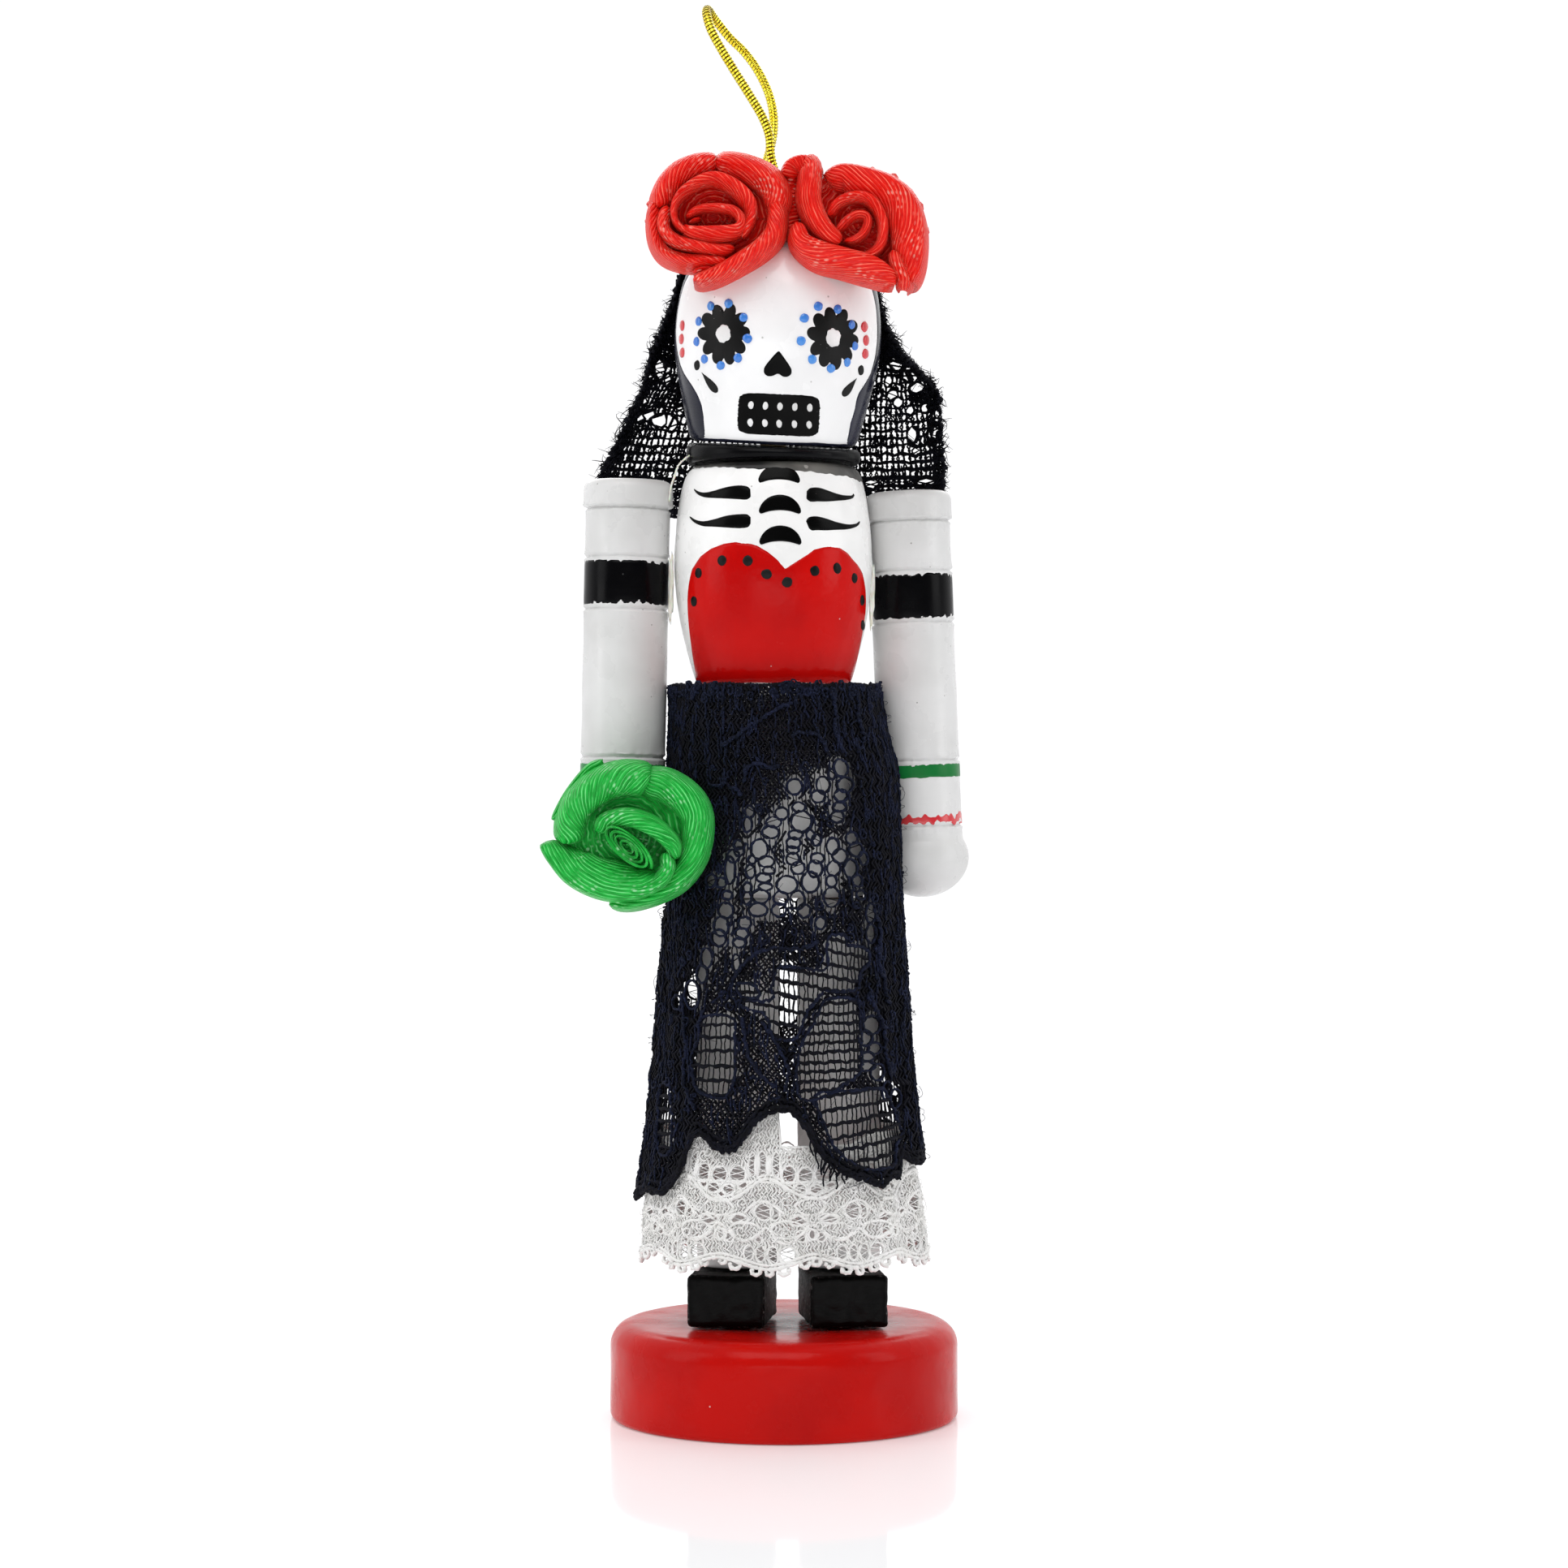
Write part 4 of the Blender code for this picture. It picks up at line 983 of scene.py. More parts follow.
def make_arms(mats):
    for side, arm in ARMS.items():
        outer = [(r, z - ARM_REF) for r, z in arm_surface(arm)]
        lowest = HAND_CENTRE - HAND_HALF_HEIGHT - ARM_REF
        name = "arm_turned_" + side
        # painted shade: the arms wear the darker copy of the white paint
        piece = spin(name, fill([(0, lowest)] + outer, 0.55), 132, mats["arm_white"],
                     "white_paint", 0.05, arm["x"], 40)
        roughen_grooves(piece, arm)
        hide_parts("arm_" + side)
        skin = Turned([(arm["shaft"], h - ARM_REF) for h in (65, 75, 85, 95, 103)], 0.5)
        parts = [piece]
        for i, (key, low, high) in enumerate(arm["bands"]):
            chipped = 0.16 if key == "dot_red" else 0.025
            ring = band(skin, low - ARM_REF, high - ARM_REF, 0.05, 220, chipped, i + 7)
            slot = {"black": "black_paint", "dot_red": "red_paint"}.get(key, "green_ribbon")
            parts.append(new_object(f"arm_{side}_{key}_band", *ring, mats[key], slot))
        for part in parts:
            put(part, (arm["x"], arm["y"], ARM_REF), (0, math.atan(-arm["lean"]), 0))


def roughen_grooves(piece, arm):
    """Torn fibres: radial noise on the lips of the lathe grooves."""
    for vertex in piece.data.vertices:
        p = vertex.co / MM
        near = min(abs(p.z + ARM_REF - g) for g in arm["grooves"])
        if near < 0.6:
            r = math.hypot(p.x, p.y)
            push = noise.noise(Vector((p.x * 2.2, p.y * 2.2, p.z * 3.0))) * 0.11
            vertex.co = Vector((p.x * (1 + push / r), p.y * (1 + push / r), p.z)) * MM


def irregular(name, radii, centre, material, slot, rough, seed, lean=0.0):
    """A lump of dried glue: a fine ball pushed about by noise."""
    rows, columns = 18, 22
    verts = []
    for i in range(rows):
        down = math.pi * (i + 0.5) / rows
        for j in range(columns):
            turn = TAU * j / columns
            n = Vector((math.sin(down) * math.cos(turn), math.sin(down) * math.sin(turn),
                        math.cos(down)))
            grow = 1 + rough * noise.noise(n * 2.1 + Vector((seed, seed, 0)))
            verts.append((n.x * radii[0] * grow + n.z * lean, n.y * radii[1] * grow,
                          n.z * radii[2] * grow))
    verts += [(lean, 0, radii[2]), (-lean, 0, -radii[2])]
    faces = grid_faces(rows, columns, wrap=True, flip=True)
    top, low = rows * columns, (rows - 1) * columns
    for j in range(columns):
        k = (j + 1) % columns
        faces.append((top, j, k))
        faces.append((top + 1, low + k, low + j))
    return new_object(name, np.array(verts) + centre, faces, material, slot)


GLUE_PLACES = {"left": (-13.0, -2.1, 95.4), "right": (10.15, -0.2, 94.6)}


def make_glue(mats):
    for side, place in GLUE_PLACES.items():
        bead = irregular("glue_" + side, (0.3, 0.45, 3.6), place, mats["glue"], "glue", 0.5,
                         place[0], 0.1)
        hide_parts("glue_bead_" + side)


def dress_dowels(mats):
    for name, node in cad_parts.items():
        if "dowel" in name:
            for slot in node.material_slots:
                slot.material = mats["wood"]


# ---------------------------------------------------------------- threads

def tubes(paths, sides=4):
    """Closed thread tubes. A path is (points, surface normals, radius or radii)."""
    verts, faces, base = [], [], 0
    turn = np.arange(sides) * TAU / sides + math.pi / sides
    cos, sin = np.cos(turn)[None, :, None], np.sin(turn)[None, :, None]
    for points, normals, radius in paths:
        n = len(points)
        along = np.gradient(points, axis=0)
        along /= np.linalg.norm(along, axis=1, keepdims=True) + 1e-12
        side = np.cross(along, normals)
        side /= np.linalg.norm(side, axis=1, keepdims=True) + 1e-12
        up = np.cross(side, along)
        r = np.broadcast_to(np.asarray(radius, float), (n,))[:, None, None]
        ring = points[:, None, :] + r * (cos * side[:, None, :] + sin * up[:, None, :])
        verts.append(ring.reshape(-1, 3))
        i = np.arange(n - 1)[:, None] * sides
        j = np.arange(sides)[None, :]
        k = (j + 1) % sides
        quads = np.stack([i + j, i + sides + j, i + sides + k, i + k], axis=-1).reshape(-1, 4)
        last = (n - 1) * sides
        caps = []
        for m in range(1, sides - 1, 2):
            caps.append((0, m, m + 1, (m + 2) % sides))
            caps.append((last + (m + 2) % sides, last + m + 1, last + m, last))
        faces.append(np.vstack([quads, caps]) + base)
        base += n * sides
    return np.vstack(verts), np.vstack(faces).tolist()


def runs(mask, least):
    """Start and stop of each stretch of True that is long enough."""
    change = np.diff(np.concatenate([[0], mask.astype(int), [0]]))
    pairs = zip(np.where(change == 1)[0], np.where(change == -1)[0])
    return [(a, b) for a, b in pairs if b - a >= least]


def inside(polygon, x, z):
    """Which points lie inside a polygon."""
    hit = np.zeros(np.shape(x), bool)
    for (x0, z0), (x1, z1) in zip(polygon, polygon[1:] + polygon[:1]):
        if z1 != z0:
            hit ^= ((z0 > z) != (z1 > z)) & (x < (x1 - x0) * (z - z0) / (z1 - z0) + x0)
    return hit


def fluffy(draw, count, thick, vary):
    """Radii of a looped yarn that swells and thins."""
    swell = np.abs(np.sin(np.arange(count) * 1.9 + draw.random() * 6))
    return thick * (1 - vary + vary * swell + 0.15 * draw.normal(0, 1, count))


def smoothed(draw, count):
    """Normal noise, each value averaged with its two neighbours."""
    return with_neighbours(draw.normal(0, 1, count)) / 3


def zigzag(count, phase, size):
    """Plus and minus size in turn down count rows; the second phase starts with minus."""
    return np.where((np.arange(count) + phase) % 2 == 0, size, -size)


class Lace:
    """Cloth of threads on a surface. Its pattern is drawn in x across and height."""

    def __init__(self, surface, across, stretch, holes):
        self.surface, self.across, self.stretch = surface, across, stretch
        self.holes = np.array(holes)

    def rings(self, draw, places, thick, out=0.15):
        """Yarn round each open hole. places gives the spots on the cloth of a pattern point."""
        paths = []
        for x, z, rx, rz in self.holes:
            t = np.linspace(0, TAU + 0.3, max(12, int((rx + rz) * 12)))
            zs = z + (rz + thick * 0.6) * np.sin(t) + draw.normal(0, 0.03, len(t))
            for place in places(x + (rx + thick * 0.6) * np.cos(t), zs):
                paths.append(self.yarn(draw, place, zs, out, thick, 0.35, 0.05))
        return paths

    def part(self, place, z, sideways=True, slack=0.30):
        """Threads part round the open holes: move points out to a hole's rim."""
        x = self.across(place, z)
        moved, lifted = x.copy(), z.copy()
        for hx, hz, rx, rz in self.holes:
            dx, dz = moved - hx, lifted - hz
            if sideways:
                wide = rx * np.sqrt(np.clip(1 - (dz / rz) ** 2, 0, 1))
                near = (np.abs(dz) < rz) & (np.abs(dx) < wide / (1 - slack))
                rim = hx + np.where(dx < 0, -1.0, 1.0) * (wide + slack * np.abs(dx))
                moved = np.where(near, rim, moved)
            else:
                tall = rz * np.sqrt(np.clip(1 - (dx / rx) ** 2, 0, 1))
                near = (np.abs(dx) < rx) & (np.abs(dz) < tall / (1 - slack))
                rim = hz + np.where(dz < 0, -1.0, 1.0) * (tall + slack * np.abs(dz))
                lifted = np.where(near, rim, lifted)
        return place + (moved - x) / self.stretch(place, z), lifted

    def near_hole(self, place, z, grow=1.1):
        x = self.across(place, z)
        hit = np.zeros(np.shape(x), bool)
        for hx, hz, rx, rz in self.holes:
            hit |= ((x - hx) / (rx * grow)) ** 2 + ((z - hz) / (rz * grow)) ** 2 < 1
        return hit

    def thread(self, place, z, out, radius):
        points, normals = self.surface(place, z, out)
        return points, normals, radius

    def threads(self, place, z, out, radius, keep, least=2):
        """Each row of the grids is a thread, cut where it isn't kept."""
        paths = []
        out, radius = np.broadcast_to(out, z.shape), np.broadcast_to(radius, z.shape)
        for i in range(len(z)):
            for a, b in runs(keep[i], least):
                paths.append(self.thread(place[i, a:b], z[i, a:b], out[i, a:b],
                                         radius[i, a:b]))
        return paths

    def yarn(self, draw, place, z, out, thick, vary=0.35, rough=0.08):
        """One drawn line of uneven yarn."""
        n = len(z)
        lift = out + rough * draw.normal(0, 1, n)
        return self.thread(place, z, lift, fluffy(draw, n, thick, vary))

    def dashes(self, draw, count, low, high, clear, sizes, thick, out, step):
        """Short stitches scattered where the pattern is closed."""
        paths = []
        for _ in range(count):
            place, z = draw.uniform(*step[0]), draw.uniform(low, high)
            t = np.linspace(-0.5, 0.5, 5)
            zs = z + t * draw.uniform(*sizes)
            places = place + (t * draw.normal(0, 0.35) + draw.normal(0, 0.06, 5)) * step[1]
            if clear(places, zs).all() and not self.near_hole(places, zs).any():
                paths.append(self.yarn(draw, places, zs, out, thick, 0.3, 0.05))
        return paths

    def knots(self, draw, count, low, high, clear, step, thick):
        """Small curls of looped yarn."""
        paths = []
        for _ in range(count):
            place, z = draw.uniform(*step[0]), draw.uniform(low, high)
            t = np.linspace(0, draw.uniform(5, 10), 11)
            size, lean = draw.uniform(0.22, 0.5), draw.uniform(0, TAU)
            places = place + (size * np.cos(t + lean) + 0.06 * t * math.cos(lean)) * step[1]
            zs = z + size * np.sin(t + lean) + 0.06 * t * math.sin(lean)
            if clear(places, zs).all() and not self.near_hole(places, zs, 1.2).any():
                paths.append(self.yarn(draw, places, zs, 0.34, thick))
        return paths

    def fuzz(self, draw, count, low, high, clear, step, reach):
        """Fine broken fibres that stand off the cloth."""
        paths = []
        t = np.linspace(0, 1, 6)
        for _ in range(count):
            place, z = draw.uniform(*step[0]), draw.uniform(low, high)
            length, bend = draw.uniform(0.5, 1.6), draw.normal(0, 1.0, 4)
            places = place + (bend[0] * t ** 2 + 0.4 * bend[1] * t) * length * step[1]
            zs = np.clip(z + (0.6 * bend[2] * t ** 2 + 0.5 * bend[3] * t) * length, low, high)
            if clear(places[:1], zs[:1]).all():
                paths.append(self.thread(places, zs, 0.3 + reach * np.sin(t * 2.5), 0.028))
        return paths


def cloth_pieces(name, layers, mats, slot, halves=True):
    """One object for each layer of threads, split into front and back."""
    pieces = []
    for label, paths, key, sides in layers:
        groups = {"": paths}
        if halves:
            groups = {"_front": [p for p in paths if p[0][:, 1].mean() < 0],
                      "_back": [p for p in paths if p[0][:, 1].mean() >= 0]}
        for where, part in groups.items():
            if part:
                pieces.append(new_object(f"{name}_{label}{where}", *tubes(part, sides),
                                         mats[key], slot))
    return pieces


# ---------------------------------------------------------------- skirt

SKIRT_STATIONS = np.array((
    (17.0, 18.0, 17.0, 0.1, 0.0), (24.0, 17.3, 16.2, 0.0, 0.0), (32.0, 16.0, 15.2, 0.0, 0.0),
    (41.6, 15.0, 14.2, 0.0, 0.0), (60.0, 13.8, 13.2, 0.0, 0.0), (74.0, 13.6, 12.6, -0.1, 0.2),
    (79.0, 12.8, 12.0, -0.7, 0.2), (84.2, 12.3, 11.6, -1.1, 0.2)))
SKIRT_TOP = 84.1
SKIRT_LOW = 24.5
LACE_HALF = 0.4
PETTICOAT_INSET = 1.5
HEM_EDGE = np.array((
    (-180, 34.6), (-171, 34.2), (-165, 31.0), (-155, 31.5), (-130, 28.0), (-105, 26.0),
    (-88, 25.2), (-74, 26.7), (-59, 26.5), (-53, 27.8), (-47, 29.7), (-44, 31.8), (-42, 33.3),
    (-38, 33.7), (-35, 33.1), (-32, 32.3), (-28, 31.9), (-22, 32.0), (-19, 32.9), (-17, 33.7),
    (-13, 35.0), (-8.5, 36.0), (-3, 36.6), (2, 36.5), (6, 35.8), (10, 34.4), (13, 32.8),
    (18, 31.1), (23, 30.0), (29, 29.0), (35, 28.7), (41, 27.9), (44, 27.8), (49, 28.7), (56, 28.6),
    (58, 29.7), (61, 31.2), (66, 29.9), (79, 29.8), (92, 31.0), (105, 29.0), (130, 32.5),
    (155, 30.5), (165, 31.2), (171, 34.4), (180, 34.6)))


def station(z):
    return [np.interp(z, SKIRT_STATIONS[:, 0], SKIRT_STATIONS[:, i]) for i in range(1, 5)]


def skirt_reach(angle, z, inset):
    """Where the lace hangs at an angle and height, kept off the arms, with soft folds."""
    half_x, half_y, cx, cy = station(z)
    dx, dy = np.sin(angle), -np.cos(angle)
    reach = 1 / np.hypot(dx / (half_x - inset), dy / (half_y - inset))
    slack = np.clip((80 - z) / 40, 0.1, 1.0)
    reach = reach + slack * (0.22 * np.sin(9 * angle + 0.8 + 0.03 * z)
                             + 0.16 * np.sin(16 * angle + 2.0 - 0.05 * z))
    for arm in ARMS.values():
        radius = np.where(np.abs(z - HAND_CENTRE) < HAND_HALF_HEIGHT + 1.0, HAND_RADIUS,
                          arm["shaft"])
        clear = radius + LACE_HALF + GAP
        ax = arm["x"] + arm["lean"] * (ARM_REF - z) - cx
        ay = arm["y"] - cy
        along = ax * dx + ay * dy
        off = np.hypot(ax - dx * along, ay - dy * along)
        hit = (along > 0) & (off < clear) & (z > HAND_CENTRE - HAND_HALF_HEIGHT - 3.0)
        limit = along - np.sqrt(np.clip(clear ** 2 - off ** 2, 0, None))
        reach = np.where(hit, np.minimum(reach, limit), reach)
    return reach, cx, cy, dx, dy


def skirt_surface(angle, z, out=0.0, inset=LACE_HALF):
    """Points and outward normals on the skirt's middle surface, raised by out."""
    reach, cx, cy, dx, dy = skirt_reach(angle, z, inset)
    step = 0.01
    slope = (skirt_reach(angle + step, z, inset)[0] - reach) / step / reach
    nx, ny = dx + slope * dy, dy - slope * dx
    size = np.hypot(nx, ny)
    normal = np.stack([nx / size, ny / size, np.zeros_like(nx)], axis=-1)
    point = np.stack([cx + dx * reach, cy + dy * reach, z + 0 * reach], axis=-1)
    return point + normal * (np.asarray(out) + 0 * reach)[..., None], normal


def edge_height(table, angle):
    """Height of a cloth's edge from a table of degrees and heights."""
    degrees = np.degrees((angle + math.pi) % TAU - math.pi)
    return np.interp(degrees, table[:, 0], table[:, 1])


def hem_height(angle):
    return edge_height(HEM_EDGE, angle)


def skirt_across(angle, z):
    """The skirt's pattern repeats on its front and back."""
    return station(z)[0] * np.sin(angle)


def skirt_stretch(angle, z):
    cos = np.cos(angle)
    return station(z)[0] * np.where(cos < 0, -1.0, 1.0) * np.maximum(np.abs(cos), 0.3)


# open holes in the lace: x across, height, half width, half height
NET_HOLES = (
    (7.1, 74.7, .62, .72), (6.0, 74.0, .3, .4), (4.9, 72.8, .62, .72), (7.5, 72.8, .7, .62),
    (1.4, 72.6, .7, .65), (4.3, 71.5, .65, .5), (7.0, 71.6, .6, .48), (1.9, 70.3, .6, .38),
    (6.8, 70.3, .55, .36), (-.2, 69.6, .6, .5), (2.2, 68.7, .98, .88), (6.5, 69.2, .55, .48),
    (-4.1, 69.8, .4, .5), (-4.4, 68.4, .4, .65), (-1.2, 68.6, .7, .42), (-1.6, 67.5, .75, .5),
    (1.5, 67.2, .65, .36), (3.3, 67.2, .36, .4), (1.2, 66.3, .65, .42), (4.0, 66.6, .4, .45),
    (-2.9, 65.6, .75, .85), (-5.5, 66.1, .42, .35), (-5.4, 65.3, .42, .35), (5.9, 65.9, .5, .72),
    (8.1, 66.8, .52, .52), (8.6, 65.5, .65, .6), (6.7, 64.8, .6, .6), (1.1, 65.5, .55, .28),
    (1.1, 64.5, .58, .48), (4.1, 64.6, .6, .4), (-6.1, 64.8, .5, .55), (-3.8, 64.4, .35, .3),
    (-2.1, 64.2, .7, .45), (9.5, 64.5, .4, .55), (1.7, 63.5, .6, .5), (3.8, 63.4, .65, .72),
    (6.0, 63.4, .55, .6), (7.9, 63.4, .6, .8), (-6.5, 63.2, .42, 1.2), (-4.0, 63.1, .4, .55),
    (-1.8, 63.2, .5, .28), (-2.4, 62.4, .65, .34), (.4, 61.6, .95, .75), (3.2, 61.9, .8, .9),
    (5.7, 62.0, .42, .48), (8.7, 62.0, .48, .52), (-7.5, 61.8, .42, .42), (-8.6, 62.0, .42, .55),
    (-2.2, 61.4, .6, .28), (-4.4, 61.3, .4, .4), (-2.8, 60.3, .8, .55), (-.4, 60.1, .65, .55),
    (1.6, 59.9, .65, .8), (5.7, 60.2, .65, .85), (9.1, 60.4, .42, .38), (-4.4, 60.1, .4, .5),
    (-6.8, 60.4, .42, .3), (-3.1, 58.8, .85, .52), (-.6, 58.8, .65, .55), (2.4, 58.7, .58, .55),
    (-7.0, 58.7, .62, .66), (10.3, 58.3, .38, .85), (-7.5, 56.9, .56, .85), (-4.7, 57.3, .6, .5),
    (-5.1, 56.1, .65, .45), (4.4, 57.3, .48, .5), (-7.8, 55.6, .58, .7), (10.3, 56.0, .4, .8),
    (-9.1, 53.3, .5, .85), (-9.6, 51.5, .45, .78), (-10.8, 49.1, .66, 1.25), (-5.4, 55.1, .6, .4),
    (-5.8, 52.8, .35, .75), (10.4, 45.7, .76, .78), (9.6, 44.3, .62, .65), (10.7, 43.1, .56, .45),
    (9.8, 42.2, .65, .33), (9.8, 41.1, .7, .36), (11.0, 40.4, .55, .7), (12.1, 38.2, .45, .85),
    (13.3, 37.2, .46, .82), (-12.6, 48.1, .4, .6),
)
# ladder windows, where only the warp and a few weft cords cross: outline, weft gap, weft slope
WINDOWS = (
    ([(-1.4, 50.3), (-.4, 52.5), (4.8, 52.1), (5.2, 54.5), (5.6, 55.9), (7.2, 55.9), (7.4, 54.8),
      (9.2, 54.6), (10.1, 53.7), (9.9, 52.5), (8.9, 51.6), (8.4, 49.8), (5.2, 49.7), (4.7, 49.4),
      (3.0, 47.8), (2.0, 45.6), (1.2, 44.4), (-1.3, 44.6), (-2.2, 47.0), (-5.1, 48.0),
      (-5.5, 48.6), (-1.5, 48.8)], 1.5, -0.20),
    ([(5.2, 48.7), (8.4, 48.6), (8.9, 46.7), (9.0, 43.6), (9.0, 41.1), (8.3, 39.9), (7.3, 39.4),
      (5.2, 38.0), (2.0, 37.7), (1.4, 40.5), (1.6, 42.3), (2.3, 44.4), (3.7, 46.3)], 1.05, 0.03),
    ([(3.7, 38.0), (7.4, 38.5), (11.3, 38.5), (12.3, 37.1), (13.8, 34.3), (14.2, 33.1),
      (13.2, 31.8), (13.0, 30.0), (11.5, 29.6), (8.8, 30.1), (6.3, 32.0), (5.0, 34.8)], 1.5, 0.14),
    ([(-9.5, 46.6), (-6.2, 46.7), (-5.9, 44.4), (-5.9, 40.2), (-6.8, 38.1), (-7.8, 37.6),
      (-9.9, 38.5), (-10.6, 40.2), (-10.7, 42.3), (-9.9, 44.0)], 1.6, 0.02),
    ([(-5.5, 50.5), (-3.4, 50.3), (-3.0, 49.1), (-5.1, 49.1)], 1.6, 0.0),
    ([(-14.5, 38.2), (-13.4, 38.2), (-13.3, 31.6), (-14.8, 31.6)], 1.4, 0.0),
)
# drawn lines of looped yarn: x across and height
DRAWN_LINES = (
    ((-6.8, 77.2), (-5.6, 78.0), (-4.2, 78.8), (-2.6, 79.8), (-1.0, 80.8), (.6, 81.6), (2.0, 82.0)),
    ((1.6, 78.2), (2.3, 78.7), (3.4, 78.6), (4.4, 78.6), (5.2, 77.8), (5.6, 76.6)),
    ((6.6, 83.4), (7.0, 81.0), (6.8, 78.6), (7.4, 76.6)),
    ((9.8, 83.2), (9.5, 80.6), (9.9, 78.2), (9.4, 76.4)),
    ((-4.7, 73.2), (-4.0, 74.9), (-2.6, 75.2), (-1.4, 74.6), (-.4, 75.0)),
    ((-8.5, 72.6), (-7.2, 72.9), (-6.0, 72.5), (-5.0, 71.6)),
    ((-6.2, 50.8), (-4.0, 53.4), (-1.4, 54.6), (1.6, 54.4), (4.0, 55.2)),
    ((9.8, 50.6), (10.6, 47.6), (11.6, 45.4), (11.8, 42.4), (12.4, 40.2)),
    ((-4.8, 46.8), (-4.4, 43.6), (-3.2, 41.0), (-1.0, 39.0)),
    ((-2.6, 46.4), (-.6, 43.4), (.4, 41.0), (.2, 38.6)),
    ((-11.6, 46.8), (-11.4, 43.2), (-11.6, 39.6), (-10.2, 36.4)),
    ((10.4, 58.8), (11.2, 56.2), (11.0, 53.0), (11.6, 50.2), (12.2, 47.8)),
)
WARP_COUNT = 150
HOLE_STRETCH = 1.2
FULL_TURN = (-math.pi, math.pi)
SKIRT_STEP = (FULL_TURN, 1 / 14)
# cords at the top edge: how far under it, thread radius
TOP_CORDS = ((0.0, 0.24), (0.45, 0.2))
# cords at the hem: how far over it, thread radius, how far out
HEM_CORDS = ((0.0, 0.33, 0.12), (0.38, 0.28, 0.25), (0.8, 0.24, -0.1), (1.15, 0.22, 0.2))
HEM_LOOPS = 90
# frayed threads at the hem: first angle, how many, length
HEM_FRAYS = ((0.19, 13, 3.0), (0.33, 9, 1.5), (0.86, 6, 1.2), (2.6, 10, 2.0))


def in_windows(x, z):
    hit = np.zeros(np.shape(x), bool)
    for outline, _gap, _slope in WINDOWS:
        hit |= inside(outline, x, z)
    return hit


def skirt_closed(angle, z):
    return ~in_windows(skirt_across(angle, z), z) & (z > hem_height(angle))


def both_sides(x, z):
    """The same pattern point on the front and on the back."""
    angle = np.arcsin(np.clip(x / station(z)[0], -0.97, 0.97))
    return angle, math.pi - angle


